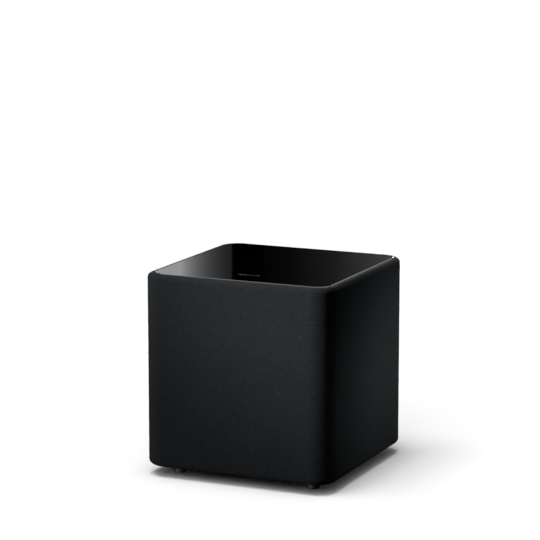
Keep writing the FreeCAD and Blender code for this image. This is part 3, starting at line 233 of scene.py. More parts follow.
def sleeve_cloth():
    """Fine plain weave in near-black melange yarn: slubs run both ways, with a soft fuzz."""
    finish = Finish("sleeve_cloth", CLOTH_COLOUR, 0.92, Specular_IOR_Level=0.18, Sheen_Weight=0.10,
                    Sheen_Roughness=0.45, Sheen_Tint=(0.80, 0.90, 1.0))
    flat = finish.flat_place("flat")
    weave = woven(finish, flat, THREAD)
    slub_along = finish.noise(finish.stretched(flat, 650.0, 60.0, 1.0), 1.0, 2.0)
    slub_across = finish.noise(finish.stretched(flat, 55.0, 600.0, 1.0), 1.0, 2.0)
    speckle = finish.noise(flat, 420.0, 2.0, 0.6)
    flecks = finish.ramp(finish.noise(flat, 560.0, 1.0), (0.60, 1.0), (0.74, 2.1))
    clouds = finish.noise(flat, 14.0, 3.0)
    colour = finish.shade(CLOTH_COLOUR, clouds, 0.93, 1.07)
    colour = finish.shade(colour, slub_along, 0.82, 1.18)
    colour = finish.shade(colour, slub_across, 0.82, 1.18)
    colour = finish.shade(colour, speckle, 0.76, 1.24)
    colour = finish.mix(1.0, colour, flecks, "MULTIPLY")
    # Painted shade: the colour falls to 0.55 in the weave's hollows between threads, with a little
    # painted light on the threads' crowns.
    colour = finish.mix(1.0, colour, finish.ramp(weave, (0.0, 0.55), (0.7, 1.12)), "MULTIPLY")
    finish.set("Base Color", colour)
    yarn = finish.math("MULTIPLY", finish.math("ADD", slub_along, slub_across), 0.5)
    finish.bump(finish.math("ADD", weave, yarn), 0.00022, 0.8)
    return finish


def stitch_thread():
    dark = (0.03, 0.033, 0.036)
    finish = Finish("stitch_thread", dark, 0.7, Sheen_Weight=0.2)
    twist = finish.add("TexWave", "Fac", settings={"bands_direction": "DIAGONAL"},
                       Vector=finish.place(), Scale=900.0, Distortion=1.5)
    # Painted shade in the grooves of the twist, and painted light on its ridges.
    finish.set("Base Color", finish.shade(dark, twist, 0.7, 1.3))
    finish.bump(twist, 0.0001)
    return finish


def wadding_fibre():
    """Lofty polyester fibre: tangled strands, with painted light where they stand up and painted
    shade in the hollows between strands and tufts.
    """
    pale = (0.62, 0.62, 0.59)
    finish = Finish("wadding_fibre", pale, 0.95, Sheen_Weight=0.4, Subsurface_Weight=0.15)
    place = finish.place()
    strands = finish.noise(finish.stretched(place, 1.0, 0.25, 1.0), 900.0, 5.0, 0.75)
    tufts = finish.noise(place, 60.0, 4.0)
    # Painted light and shade: the colour follows the height of the strands and tufts.
    colour = finish.shade(pale, strands, 0.72, 1.1)
    finish.set("Base Color", finish.shade(colour, tufts, 0.85, 1.08))
    finish.bump(finish.math("ADD", strands, tufts), 0.0012)
    return finish


def spider_cloth():
    """Open weave stiffened with an amber resin."""
    amber = (0.50, 0.31, 0.10)
    finish = Finish("spider_cloth", amber, 0.7, Sheen_Weight=0.2)
    place = finish.place()
    disc_flat = finish.add("CombineXYZ", X=finish.axis(place, "x"), Y=finish.axis(place, "z"))
    mesh = woven(finish, disc_flat, SPIDER_THREAD)
    resin = finish.noise(place, 45.0, 3.0)
    # Painted shade: darker in the hollows between the threads, lighter on their crowns.
    colour = finish.shade(amber, mesh, 0.5, 1.1)
    finish.set("Base Color", finish.shade(colour, resin, 0.8, 1.15))
    finish.bump(mesh, 0.0002)
    return finish


def cone_paper():
    """Pressed pulp: short fibres lying every way, in a black-brown dye."""
    dye = (0.045, 0.043, 0.041)
    finish = Finish("cone_paper", dye, 0.88)
    place = finish.place()
    fibres = finish.noise(finish.stretched(place, 1.0, 1.0, 0.3), 700.0, 6.0, 0.8)
    felt = finish.noise(place, 120.0, 4.0)
    colour = finish.shade(dye, fibres, 0.6, 1.5)
    finish.set("Base Color", finish.shade(colour, felt, 0.85, 1.2))
    finish.bump(finish.math("ADD", fibres, felt), 0.0003)
    return finish


# ---------------------------------------------------------------- materials: outside
def panel_gloss():
    """Black lacquer polished to a mirror, with the faintest orange peel."""
    lacquer = (0.0008, 0.0008, 0.0009)
    finish = Finish("panel_gloss", lacquer, 0.03)
    finish.set("IOR", 1.5)
    place = finish.place()
    haze = finish.noise(place, 18.0, 2.0)
    finish.set("Base Color", finish.shade(lacquer, haze, 0.8, 1.2))
    finish.set("Roughness", finish.ramp(haze, (0.3, 0.02), (0.7, 0.045)))
    finish.bump(finish.noise(place, 160.0, 1.0), 0.0000015)
    return finish


def inlay_metal():
    return metal("inlay_metal", (0.62, 0.62, 0.64), 0.28, (0.04, 1.0, 1.0), 1800.0, 0.00001)


def moulding_black():
    return moulded("moulding_black", (0.022, 0.022, 0.024), 0.62)


def foot_plastic():
    return moulded("foot_plastic", (0.016, 0.016, 0.017), 0.42, 1100.0, 0.00003)


def dish_coat():
    """Powder coat on sheet steel: small rounded pebbles."""
    dark = (0.019, 0.019, 0.021)
    finish = Finish("dish_coat", dark, 0.5)
    place = finish.place()
    pebbles = finish.add("TexVoronoi", "Distance", settings={"feature": "SMOOTH_F1"},
                         Vector=place, Scale=1100.0)
    clouds = finish.noise(place, 25.0, 3.0)
    # Painted light and shade: each pebble is lighter on its raised middle and darker round its
    # sunken edge.
    colour = finish.shade(dark, pebbles, 1.15, 0.85)
    finish.set("Base Color", finish.shade(colour, clouds, 0.92, 1.08))
    finish.set("Roughness", finish.ramp(clouds, (0.3, 0.44), (0.7, 0.56)))
    finish.bump(finish.math("SUBTRACT", 1.0, pebbles), 0.00012, 0.7)
    return finish


def screw_steel():
    return metal("screw_steel", (0.085, 0.085, 0.09), 0.36, grain=1200.0)


# ---------------------------------------------------------------- materials: cabinet and driver
def mdf():
    """Raw fibreboard: fine flecks over slow clouds that run along the upright."""
    tan = (0.46, 0.32, 0.19)
    finish = Finish("mdf", tan, 0.85)
    place = finish.place()
    flecks = finish.noise(place, 900.0, 5.0, 0.75)
    clouds = finish.noise(finish.stretched(place, 1.0, 1.0, 0.3), 16.0, 4.0)
    colour = finish.shade(tan, flecks, 0.72, 1.18)
    finish.set("Base Color", finish.shade(colour, clouds, 0.88, 1.1))
    finish.bump(flecks, 0.00008)
    return finish


def basket_coat():
    return moulded("basket_coat", (0.028, 0.028, 0.03), 0.42, 700.0, 0.00008)


def former_foil():
    return metal("former_foil", (0.78, 0.78, 0.79), 0.25, (1.0, 0.05, 1.0), 500.0)


def coil_copper():
    """Close round turns of enamelled wire."""
    copper = (0.72, 0.30, 0.12)
    finish = Finish("coil_copper", copper, 0.3, Metallic=1.0)
    turns = finish.add("TexWave", "Fac", settings={"bands_direction": "Y"},
                       Vector=finish.place(), Scale=320.0)
    # Painted shade: the colour darkens to 0.45 in the grooves between the turns.
    finish.set("Base Color", finish.shade(copper, turns, 0.45, 1.1))
    finish.bump(turns, 0.0002)
    return finish


def motor_steel():
    return metal("motor_steel", (0.50, 0.50, 0.49), 0.38, (1.0, 0.1, 1.0), 350.0)


def magnet_ferrite():
    finish = moulded("magnet_ferrite", (0.055, 0.055, 0.06), 0.55, 500.0, 0.0001)
    finish.set("Specular IOR Level", 0.7)
    return finish


def tag_board():
    """Paper laminate with tinned blades."""
    finish = moulded("tag_board", (0.33, 0.18, 0.08), 0.5, 800.0)
    blade_long = 9 * MM
    blade_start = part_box("terminal_strip")[1].y - blade_long
    blade = finish.inside(finish.place(), (None, blade_start, None), (None, None, None))
    finish.set("Metallic", blade)
    finish.set("Base Color", finish.mix(blade, finish.base(), (0.75, 0.74, 0.70)))
    return finish


# ---------------------------------------------------------------- materials: amplifier
def circuit_green():
    """Solder mask over copper runs, with bare tinned pads."""
    green = (0.012, 0.095, 0.045)
    finish = Finish("circuit_green", green, 0.35, Coat_Weight=0.4)
    place = finish.place()
    board_flat = finish.add("CombineXYZ", X=finish.axis(place, "x"), Y=finish.axis(place, "z"))
    runs = finish.add("TexBrick", "Fac", settings={"offset": 0.37, "squash": 0.6},
                      Vector=board_flat, Scale=55.0, Mortar_Size=0.05)
    pads = finish.add("TexVoronoi", "Distance", settings={"feature": "F1"},
                      Vector=board_flat, Scale=190.0)
    pad = finish.math("LESS_THAN", pads, 0.16)
    board = finish.mix(runs, green, (0.03, 0.19, 0.08))
    finish.set("Base Color", finish.mix(pad, board, (0.72, 0.72, 0.70)))
    finish.set("Metallic", pad)
    finish.bump(finish.math("ADD", runs, pad), 0.00006)
    return finish


def sink_aluminium():
    return metal("sink_aluminium", (0.66, 0.66, 0.67), 0.34, (1.0, 0.03, 0.03), 900.0)


def core_ferrite():
    """Dark core; the bobbin's ends stand past it above and below, in yellow tape."""
    finish = moulded("core_ferrite", (0.07, 0.07, 0.075), 0.6, 600.0)
    low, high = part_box("transformer")
    middle, core_half = (low.z + high.z) / 2, 18 * MM
    core = finish.inside(finish.place(), (None, None, middle - core_half),
                         (None, None, middle + core_half))
    tape = finish.math("SUBTRACT", 1.0, core)
    finish.set("Base Color", finish.mix(tape, finish.base(), (0.72, 0.55, 0.08)))
    return finish


def can_sleeve():
    """Dark blue shrink sleeve, with a bare aluminium end."""
    finish = moulded("can_sleeve", (0.015, 0.022, 0.07), 0.3, 400.0, 0.00003)
    bare_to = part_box("capacitors")[0].y + MM
    end = finish.inside(finish.place(), (None, None, None), (None, bare_to, None))
    finish.set("Base Color", finish.mix(end, finish.base(), (0.8, 0.8, 0.8)))
    finish.set("Metallic", end)
    return finish


def switch_black():
    """Matte black plastic; the mains inlet's blades are bare brass."""
    finish = moulded("switch_black", (0.013, 0.013, 0.014), 0.48, 1100.0, 0.00003)
    low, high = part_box("mains_inlet")
    middle, place = (low.x + high.x) / 2, finish.place()
    half_wide, half_tall, root = 1.05 * MM, 2.05 * MM, low.y + 12.05 * MM
    line_up, earth_up = low.z + 23.5 * MM, low.z + 27.5 * MM
    pins = 0.0
    for across, up in ((-7 * MM, line_up), (0.0, earth_up), (7 * MM, line_up)):
        x = middle + across
        pin = finish.inside(place, (x - half_wide, root, up - half_tall),
                            (x + half_wide, None, up + half_tall))
        pins = finish.math("ADD", pins, pin)
    finish.set("Base Color", finish.mix(pins, finish.base(), (0.78, 0.70, 0.50)))
    finish.set("Metallic", pins)
    return finish


def knob_black():
    return moulded("knob_black", (0.015, 0.015, 0.016), 0.36, 1300.0, 0.00002)


def shaft_metal():
    return metal("shaft_metal", (0.66, 0.58, 0.38), 0.3, (1.0, 0.06, 1.0), 900.0)


def phono_plating():
    """Gold-plated barrels, each with a white or red insert round its pin hole."""
    finish = metal("phono_plating", (0.86, 0.62, 0.24), 0.16, grain=300.0)
    low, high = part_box("phono_sockets")
    middle, half_pitch, insert_radius = (low.x + high.x) / 2, 9 * MM, 2.7 * MM
    place = finish.place()
    up = finish.math("SUBTRACT", finish.axis(place, "z"), (low.z + high.z) / 2)
    inserts = []
    for side in (-1, 1):
        across = finish.math("SUBTRACT", finish.axis(place, "x"), middle + side * half_pitch)
        reach = finish.math("SQRT", finish.math("ADD", finish.math("POWER", across, 2.0),
                                                finish.math("POWER", up, 2.0)))
        inserts.append(finish.math("LESS_THAN", reach, insert_radius))
    colour = finish.base()
    for insert, plastic in zip(inserts, ((0.75, 0.75, 0.73), (0.55, 0.02, 0.02))):
        colour = finish.mix(insert, colour, plastic)
    finish.set("Base Color", colour)
    finish.set("Metallic", finish.math("SUBTRACT", 1.0, finish.math("ADD", *inserts)))
    return finish


def terminal_green():
    return moulded("terminal_green", (0.012, 0.12, 0.05), 0.45, 1000.0, 0.00003)


def lens_clear():
    """Moulded clear plastic over the status light, faintly rippled."""
    pale = (0.9, 0.97, 0.93)
    finish = Finish("lens_clear", pale, 0.18, Transmission_Weight=0.75, IOR=1.49)
    ripple = finish.noise(finish.place(), 1400.0)
    finish.set("Base Color", finish.shade(pale, ripple, 0.94, 1.0))
    finish.bump(ripple, 0.00002)
    return finish


def lead_sleeve():
    """One red and one black insulated wire."""
    finish = rubber("lead_sleeve", (0.02, 0.02, 0.02), 0.5)
    right = finish.math("GREATER_THAN", finish.axis(finish.place(), "x"), 0.0)
    finish.set("Base Color", finish.mix(right, finish.base(), (0.35, 0.015, 0.012)))
    return finish


def printed_white():
    """Screen-printed ink, a little uneven."""
    ink = (0.62, 0.63, 0.64)
    finish = Finish("printed_white", ink, 0.6)
    finish.set("Base Color", finish.shade(ink, finish.noise(finish.place(), 1500.0), 0.8, 1.1))
    return finish


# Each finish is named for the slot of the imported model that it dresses.
FINISHES = {make.__name__: make for make in (
    mdf, moulding_black, sleeve_cloth, panel_gloss, inlay_metal, wadding_fibre, foot_plastic,
    screw_steel, basket_coat, cone_paper, former_foil, coil_copper, spider_cloth, motor_steel,
    magnet_ferrite, tag_board, dish_coat, circuit_green, sink_aluminium, core_ferrite, can_sleeve,
    switch_black, knob_black, shaft_metal, phono_plating, terminal_green, lens_clear, lead_sleeve)}
made = {slot: make().material for slot, make in FINISHES.items()}
made["soft_rubber"] = rubber("soft_rubber", (0.012, 0.012, 0.012)).material
made["gasket_foam"] = rubber("gasket_foam", (0.03, 0.03, 0.03), 0.95).material


def dress_cad_nodes():
    """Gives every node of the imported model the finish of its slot."""
    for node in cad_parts.values():
        for holder in node.material_slots:
            holder.material = made[holder.material.name.split(".")[0]]


# ---------------------------------------------------------------- mesh helpers
def new_piece(name, bm, material, body=None, smooth=True):
    """Turns a bmesh into a piece that rides on a body."""
    mesh = bpy.data.meshes.new(name)
    bm.to_mesh(mesh)
    bm.free()
    piece = bpy.data.objects.new(name, mesh)
    bpy.context.scene.collection.objects.link(piece)
    mesh.materials.append(material)
    if smooth:
        mesh.polygons.foreach_set("use_smooth", [True] * len(mesh.polygons))
    if body:
        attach(piece, body)
    return piece


def settle_modifiers(piece):
    """Replaces the piece's mesh with what its modifiers make of it."""
    graph = bpy.context.evaluated_depsgraph_get()
    shaped = bpy.data.meshes.new_from_object(piece.evaluated_get(graph))
    piece.modifiers.clear()
    piece.data = shaped


def lathe(name, outline, axis_place, turns, material):
    """Revolves a closed outline of (radius, depth) about an axis that runs along +Y."""
    bm = bmesh.new()
    rings = []
    for turn in range(turns):
        angle = 2 * math.pi * turn / turns
        across, up = math.cos(angle), math.sin(angle)
        rings.append([bm.verts.new(axis_place + Vector((radius * across, depth, radius * up)))
                      for radius, depth in outline])
    count = len(outline)
    for turn in range(turns):
        here, there = rings[turn], rings[(turn + 1) % turns]
        for step in range(count):
            after = (step + 1) % count
            bm.faces.new((here[step], here[after], there[after], there[step]))
    bmesh.ops.recalc_face_normals(bm, faces=bm.faces)
    return new_piece(name, bm, material)


# ---------------------------------------------------------------- cloth sleeve
SLEEVE_LOW, SLEEVE_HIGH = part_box("fabric_wrap")
AMP_LOW, AMP_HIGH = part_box("amp_plate")
HALF = SLEEVE_HIGH.x
CROWN = SLEEVE_HIGH.z + 0.5 * MM
CORNER, TOP_ROLL, LOW_ROLL = 37 * MM, 9 * MM, 10 * MM
CLOTH = 1.2 * MM
MOUTH_INSET, HEM_INSET = 11.5 * MM, 14 * MM
SEAM_WIDTH, SEAM_DEPTH = 0.9 * MM, 0.7 * MM
SEAM_STEPS = (0.35 * MM, 0.8 * MM, 1.4 * MM, 2.2 * MM, 3.4 * MM)
WANDER, WANDER_SCALE = 0.16 * MM, 11.0


def plan_walk(step):
    """Walks once round the cabinet from the middle of the back.

    Each stop is (core point, outward way, length so far); the cloth lies CORNER outside the core.
    """
    core = HALF - CORNER
    walk = []
    back_half = [0.0, *SEAM_STEPS]
    back_half += list(np.arange(2 * step, core - step / 2, step))
    for distance in back_half:
        walk.append((Vector((-distance, core, 0)), Vector((0, 1, 0)), distance))
    length = core
    ways = [Vector((-1, 0, 0)), Vector((0, -1, 0)), Vector((1, 0, 0)), Vector((0, 1, 0))]
    arc = CORNER * math.pi / 2
    arc_steps = round(arc / step)
    side_steps = round(2 * core / step)
    start_way = Vector((0, 1, 0))
    for index, way in enumerate(ways):
        centre = (start_way + way) * core
        for tick in range(arc_steps):
            angle = math.pi / 2 * tick / arc_steps
            outward = start_way * math.cos(angle) + way * math.sin(angle)
            walk.append((centre, outward, length + CORNER * angle))
        length += arc
        if index < 3:
            onward = -start_way
            for tick in range(side_steps):
                distance = 2 * core * tick / side_steps
                walk.append((centre + onward * distance, way, length + distance))
            length += 2 * core
        start_way = way
    for distance in [core, *reversed(back_half[1:])]:
        walk.append((Vector((distance, core, 0)), Vector((0, 1, 0)), length + core - distance))
    return walk, length + core


def side_profile():
    """The sleeve's outer line from the mouth to the hem: (inset, height, length along it)."""
    low, high = SLEEVE_LOW.z, CROWN
    top_ticks, low_ticks, row_tall = 10, 8, 6 * MM
    line = [(MOUTH_INSET, high)]
    for tick in range(top_ticks + 1):
        angle = math.pi / 2 * tick / top_ticks
        line.append((TOP_ROLL * (1 - math.sin(angle)), high - TOP_ROLL * (1 - math.cos(angle))))
    straight = high - TOP_ROLL - low - LOW_ROLL
    steps = round(straight / row_tall)
    line += [(0.0, high - TOP_ROLL - straight * tick / steps) for tick in range(1, steps)]
    for tick in range(low_ticks + 1):
        angle = math.pi / 2 * tick / low_ticks
        line.append((LOW_ROLL * (1 - math.cos(angle)), low + LOW_ROLL * (1 - math.sin(angle))))
    line.append((HEM_INSET, low))
    profile, length = [], 0.0
    for index, (inset, height) in enumerate(line):
        if index:
            length += math.dist(line[index - 1], (inset, height))
        profile.append((inset, height, length))
    return profile


def seam_dip(around, whole):
    """How far the cloth is drawn in beside the seam at the middle of the back."""
    off = min(around, whole - around)
    return SEAM_DEPTH * math.exp(-(off / SEAM_WIDTH) ** 2)


def sleeve_point(core, outward, inset, height, around, whole):
    """A point of the sleeve's outside, drawn in by the seam and by the cloth's slow wander."""
    spot = core + outward * (CORNER - inset)
    spot.z = height
    edge_calm = min(1.0, (CROWN - height) / (2 * TOP_ROLL),
                    (height - SLEEVE_LOW.z) / (5 * LOW_ROLL))
    drawn = WANDER * edge_calm * (0.5 + 0.5 * noise.noise(spot * WANDER_SCALE))
    return spot - outward * (drawn + seam_dip(around, whole) * edge_calm)


def rear_cutter():
    """A prism with round corners, the size of the hole that the amplifier's flange fills."""
    gap, round_corner, reach, ticks = 0.3 * MM, 8.3 * MM, 6 * MM, 8
    middle = (AMP_LOW.z + AMP_HIGH.z) / 2
    centre_x = AMP_HIGH.x + gap - round_corner
    centre_z = (AMP_HIGH.z - AMP_LOW.z) / 2 + gap - round_corner
    outline = []
    for turn, (sign_x, sign_z) in enumerate(((1, 1), (-1, 1), (-1, -1), (1, -1))):
        for tick in range(ticks + 1):
            angle = math.pi / 2 * (turn + tick / ticks)
            outline.append((sign_x * centre_x + round_corner * math.cos(angle),
                            middle + sign_z * centre_z + round_corner * math.sin(angle)))
    bm = bmesh.new()
    rings = [[bm.verts.new((x, along, z)) for x, z in outline]
             for along in (HALF - reach, HALF + reach)]
    for ring in rings:
        bm.faces.new(ring)
    for index in range(len(outline)):
        after = (index + 1) % len(outline)
        bm.faces.new((rings[0][index], rings[0][after], rings[1][after], rings[1][index]))
    bmesh.ops.recalc_face_normals(bm, faces=bm.faces)
    return new_piece("rear_cutter", bm, made["sleeve_cloth"])


def make_sleeve():
    """The stretched cloth sleeve: rolled over both rims, seamed behind, open at the amplifier."""
    walk, whole = plan_walk(4 * MM)
    profile = side_profile()
    bm = bmesh.new()
    flat = bm.loops.layers.uv.new("flat")
    columns = [[bm.verts.new(sleeve_point(core, outward, inset, height, around, whole))
                for inset, height, _ in profile] for core, outward, around in walk]
    around_at = [around for _, _, around in walk] + [whole]
    for column in range(len(walk)):
        left, right = columns[column], columns[(column + 1) % len(walk)]
        for row in range(len(profile) - 1):
            face = bm.faces.new((left[row], left[row + 1], right[row + 1], right[row]))
            corners = ((column, row), (column, row + 1), (column + 1, row + 1), (column + 1, row))
            for loop, (place, level) in zip(face.loops, corners):
                loop[flat].uv = (around_at[place], profile[level][2])
    sleeve = new_piece("cloth_sleeve", bm, made["sleeve_cloth"])
    solid = sleeve.modifiers.new("thickness", "SOLIDIFY")
    solid.thickness = CLOTH
    solid.offset = -1.0
    cutter = rear_cutter()
    hole = sleeve.modifiers.new("amplifier_hole", "BOOLEAN")
    hole.object = cutter
    hole.operation = "DIFFERENCE"
    hole.solver = "EXACT"
    settle_modifiers(sleeve)
    bpy.data.objects.remove(cutter)
    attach(sleeve, CABINET)
    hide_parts("fabric_wrap")
    stitches = make_stitches(profile)


STITCH_LONG, STITCH_PITCH, STITCH_OFF, STITCH_RADIUS = 2.9 * MM, 4.1 * MM, 2.3 * MM, 0.28 * MM
CAPSULE_SIDES = 8


def capsule(bm, start, end, radius):
    """A short thread that narrows to a small flat face at each end."""
    way = (end - start).normalized()
    side = way.orthogonal().normalized()
    other = way.cross(side)
    spokes = [side * math.cos(angle) + other * math.sin(angle)
              for angle in (2 * math.pi * k / CAPSULE_SIDES for k in range(CAPSULE_SIDES))]
    rings = []
    for share, size in ((0.0, 0.35), (0.12, 0.85), (0.5, 1.0), (0.88, 0.85), (1.0, 0.35)):
        centre = start.lerp(end, share)
        rings.append([bm.verts.new(centre + spoke * radius * size) for spoke in spokes])
    for here, there in zip(rings, rings[1:]):
        for k in range(CAPSULE_SIDES):
            after = (k + 1) % CAPSULE_SIDES
            bm.faces.new((here[k], here[after], there[after], there[k]))
    bm.faces.new(rings[0])
    bm.faces.new(rings[-1])


def profile_spot(profile, length):
    """The (inset, height) at a length along the sleeve's outer line."""
    for before, after in zip(profile, profile[1:]):
        if after[2] >= length:
            share = (length - before[2]) / (after[2] - before[2])
            return (before[0] + (after[0] - before[0]) * share,
                    before[1] + (after[1] - before[1]) * share)
    return profile[-1][:2]


def make_stitches(profile):
    """Two rows of stitches beside the back seam, above and below the amplifier."""
    bm = bmesh.new()
    length, tall = STITCH_PITCH, profile[-1][2]
    while length + STITCH_LONG < tall:
        ends = [profile_spot(profile, at) for at in (length, length + STITCH_LONG)]
        if all(height > AMP_HIGH.z + MM or height < AMP_LOW.z - MM for _, height in ends):
            for side in (-1, 1):
                start, end = (Vector((side * STITCH_OFF, HALF - inset, height))
                              for inset, height in ends)
                capsule(bm, start, end, STITCH_RADIUS)
        length += STITCH_PITCH
    bmesh.ops.recalc_face_normals(bm, faces=bm.faces)
    return new_piece("seam_stitches", bm, stitch_thread().material, CABINET)


# ---------------------------------------------------------------- lining and driver
def make_wadding():
    """Fibre lining that lies up both sides and across the ceiling, lumpy and thin at its edges."""
    low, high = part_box("wadding")
    thick, bend, step, rows, bend_ticks = 20 * MM, 30 * MM, 8 * MM, 18, 6
    thin, swell, lumps, lump_scale, edge_rows = 0.25, 0.68, 0.16, 45.0, 6
    mid = thick / 2
    left, right, foot, ceiling = low.x + mid, high.x - mid, low.z, high.z - mid
    half_line = [(left, foot + tick * step) for tick in range(int((ceiling - bend - foot) / step))]
    for tick in range(bend_ticks + 1):
        angle = math.pi / 2 * tick / bend_ticks
        half_line.append((left + bend * (1 - math.cos(angle)),
                          ceiling - bend * (1 - math.sin(angle))))
    straight = right - left - 2 * bend
    steps = int(straight / step)
    across = [(left + bend + straight * tick / steps, ceiling) for tick in range(1, steps)]
    line = half_line + across + [(left + right - x, z) for x, z in reversed(half_line)]
    bm = bmesh.new()
    spots = {}
    for side in (1, -1):
        for index, (x, z) in enumerate(line):
            before, after = line[max(index - 1, 0)], line[min(index + 1, len(line) - 1)]
            way = Vector((after[0] - before[0], 0, after[1] - before[1])).normalized()
            inward = Vector((way.z, 0, -way.x))
            for row in range(rows + 1):
                share = row / rows
                ends = (index / edge_rows, (len(line) - 1 - index) / edge_rows)
                edge = min(share, 1 - share, *ends) * edge_rows
                full = thin + swell * min(1.0, max(edge, 0.0)) ** 0.5
                place = Vector((x, low.y + (high.y - low.y) * share, z))
                lump = 1 - lumps * (1 + noise.noise(place * lump_scale + Vector((side, 0, 0))))
                spots[side, index, row] = bm.verts.new(place + inward * side * mid * full * lump)
    last = len(line) - 1
    for side in (1, -1):
        for index in range(last):
            for row in range(rows):
                bm.faces.new([spots[side, i, r] for i, r in (
                    (index, row), (index + 1, row), (index + 1, row + 1), (index, row + 1))])
    for index in range(last):
        for row in (0, rows):
            bm.faces.new((spots[1, index, row], spots[1, index + 1, row],
                          spots[-1, index + 1, row], spots[-1, index, row]))
    for row in range(rows):
        for index in (0, last):
            bm.faces.new((spots[1, index, row], spots[1, index, row + 1],
                          spots[-1, index, row + 1], spots[-1, index, row]))
    bmesh.ops.recalc_face_normals(bm, faces=bm.faces)
    lining = new_piece("fibre_lining", bm, made["wadding_fibre"], CABINET)
    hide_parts("wadding")


def radial_blend(piece):
    """Bakes the piece's placement into its mesh.
    """
    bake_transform(piece)


DRIVER_LOW, DRIVER_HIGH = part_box("driver_basket")
DRIVER = Vector((0, DRIVER_LOW.y, (DRIVER_LOW.z + DRIVER_HIGH.z) / 2))


def make_surround():
    """The half-roll rubber surround, with a flat lip on each side."""
    inner_lip, inner_roll, outer_roll, outer_lip = 84.2 * MM, 90 * MM, 106 * MM, 112.8 * MM
    thick, front = 1.1 * MM, 0.4 * MM
    roll = (outer_roll - inner_roll) / 2
    middle = inner_roll + roll
    ticks = 18
    angles = [math.pi * tick / ticks for tick in range(ticks + 1)]
    crest = [(middle - roll * math.cos(a), front - roll * math.sin(a)) for a in angles]
    hollow = [(middle - (roll - thick) * math.cos(a), front + thick - roll * math.sin(a))
              for a in angles]
    outline = [(inner_lip, front)] + crest + [(outer_lip, front), (outer_lip, front + thick)]
    outline += hollow[::-1] + [(inner_lip, front + thick)]
    surround = lathe("rubber_surround", outline, DRIVER, 120, made["soft_rubber"])
    radial_blend(surround)
    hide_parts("surround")


def make_spider():
    """The corrugated cloth disc that centres the coil; the waves fade out at both ends."""
    start, flat_from, end = 25.7 * MM, 66 * MM, 79.8 * MM
    middle, thick, wave = 57.6 * MM, 0.7 * MM, 2.4 * MM
    waves, ticks, fade = 5, 40, 8
    front = []
    for tick in range(ticks + 1):
        share = tick / ticks
        calm = min(1.0, fade * share, fade * (1 - share))
        front.append((start + (flat_from - start) * share,
                      middle + wave * calm * math.sin(2 * math.pi * waves * share)))
    front.append((end, middle))
    back = [(radius, depth + thick) for radius, depth in reversed(front)]
    spider = lathe("centring_spider", front + back, DRIVER, 96, made["spider_cloth"])
    radial_blend(spider)
    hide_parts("spider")


# ---------------------------------------------------------------- marks on the controls
INK = 0.08 * MM
TICKS, FIRST_TICK, TICK_TURN = 11, -150, 30
TICK_RADIUS, TICK_WIDE, LONG_TICK, SHORT_TICK = 15.5 * MM, 0.5 * MM, 2.4 * MM, 1.5 * MM
POINTER_RADIUS, POINTER_LONG, POINTER_WIDE, POINTER_SUNK = 8.0 * MM, 6.4 * MM, 1.1 * MM, 0.9 * MM


def flat_bar(bm, centre, long_way, across_way, long, wide, out_way):
    """A thin printed bar standing a hair off a face."""
    corners = []
    along, across = long_way * long / 2, across_way * wide / 2
    for lift in (0.0, INK):
        for a, b in ((-1, -1), (1, -1), (1, 1), (-1, 1)):
            corners.append(bm.verts.new(centre + along * a + across * b + out_way * lift))
    bm.faces.new(corners[:4])
    bm.faces.new(corners[4:])
    for k in range(4):
        after = (k + 1) % 4
        bm.faces.new((corners[k], corners[after], corners[4 + after], corners[4 + k]))


def knob_centre(knob, depth):
    """The middle of a knob's box, at a given depth."""
    low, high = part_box(knob)
    return Vector(((low.x + high.x) / 2, depth, (low.z + high.z) / 2))


def make_dial_marks():
    """Ticks round each knob from one end of its turn to the other, and a pointer on each knob."""
    ink = printed_white().material
    out, up, right = Vector((0, 1, 0)), Vector((0, 0, 1)), Vector((1, 0, 0))
    plate_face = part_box("volume_knob")[0].y - 0.6 * MM
    bm = bmesh.new()
    for knob in ("volume_knob", "crossover_knob"):
        centre = knob_centre(knob, plate_face)
        for tick in range(TICKS):
            angle = math.radians(FIRST_TICK + TICK_TURN * tick)
            way = Vector((math.sin(angle), 0, math.cos(angle)))
            long = LONG_TICK if tick % 5 == 0 else SHORT_TICK
            flat_bar(bm, centre + way * (TICK_RADIUS + long / 2), way, way.cross(out), long,
                     TICK_WIDE, out)
    bmesh.ops.recalc_face_normals(bm, faces=bm.faces)
    new_piece("dial_marks", bm, ink, CABINET, smooth=False)
    for knob, body in (("volume_knob", VOLUME), ("crossover_knob", CROSSOVER)):
        centre = knob_centre(knob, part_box(knob)[1].y - POINTER_SUNK)
        bm = bmesh.new()
        flat_bar(bm, centre + up * POINTER_RADIUS, up, right, POINTER_LONG, POINTER_WIDE, out)
        bmesh.ops.recalc_face_normals(bm, faces=bm.faces)
        new_piece(knob.replace("knob", "pointer"), bm, ink, body, smooth=False)


# ---------------------------------------------------------------- stage, lights and camera
VIEW_TURN, VIEW_DROP = math.radians(24.28), math.radians(10.72)
CAMERA_PLACE = Vector((1.695, -3.782, 1.129))
LENS, SENSOR = 161.8, 36.0
VIEW_WAY = Vector((-math.sin(VIEW_TURN), math.cos(VIEW_TURN), 0))
scene = bpy.context.scene


def make_camera():
    camera = bpy.data.objects.new("camera", bpy.data.cameras.new("camera"))
    camera.data.sensor_width = SENSOR
    camera.data.lens = LENS
    camera.data.clip_end = 60.0
    camera.location = CAMERA_PLACE
    camera.rotation_euler = (math.pi / 2 - VIEW_DROP, 0, VIEW_TURN)
    scene.collection.objects.link(camera)
    scene.camera = camera


def glow(name, radiance):
    """A material that only gives light: (material, emission node)."""
    material = bpy.data.materials.new(name)
    material.use_nodes = True
    tree = material.node_tree
    tree.nodes.clear()
    emission = tree.nodes.new("ShaderNodeEmission")
    emission.inputs["Strength"].default_value = radiance
    output = tree.nodes.new("ShaderNodeOutputMaterial")
    tree.links.new(emission.outputs[0], output.inputs["Surface"])
    return material, emission


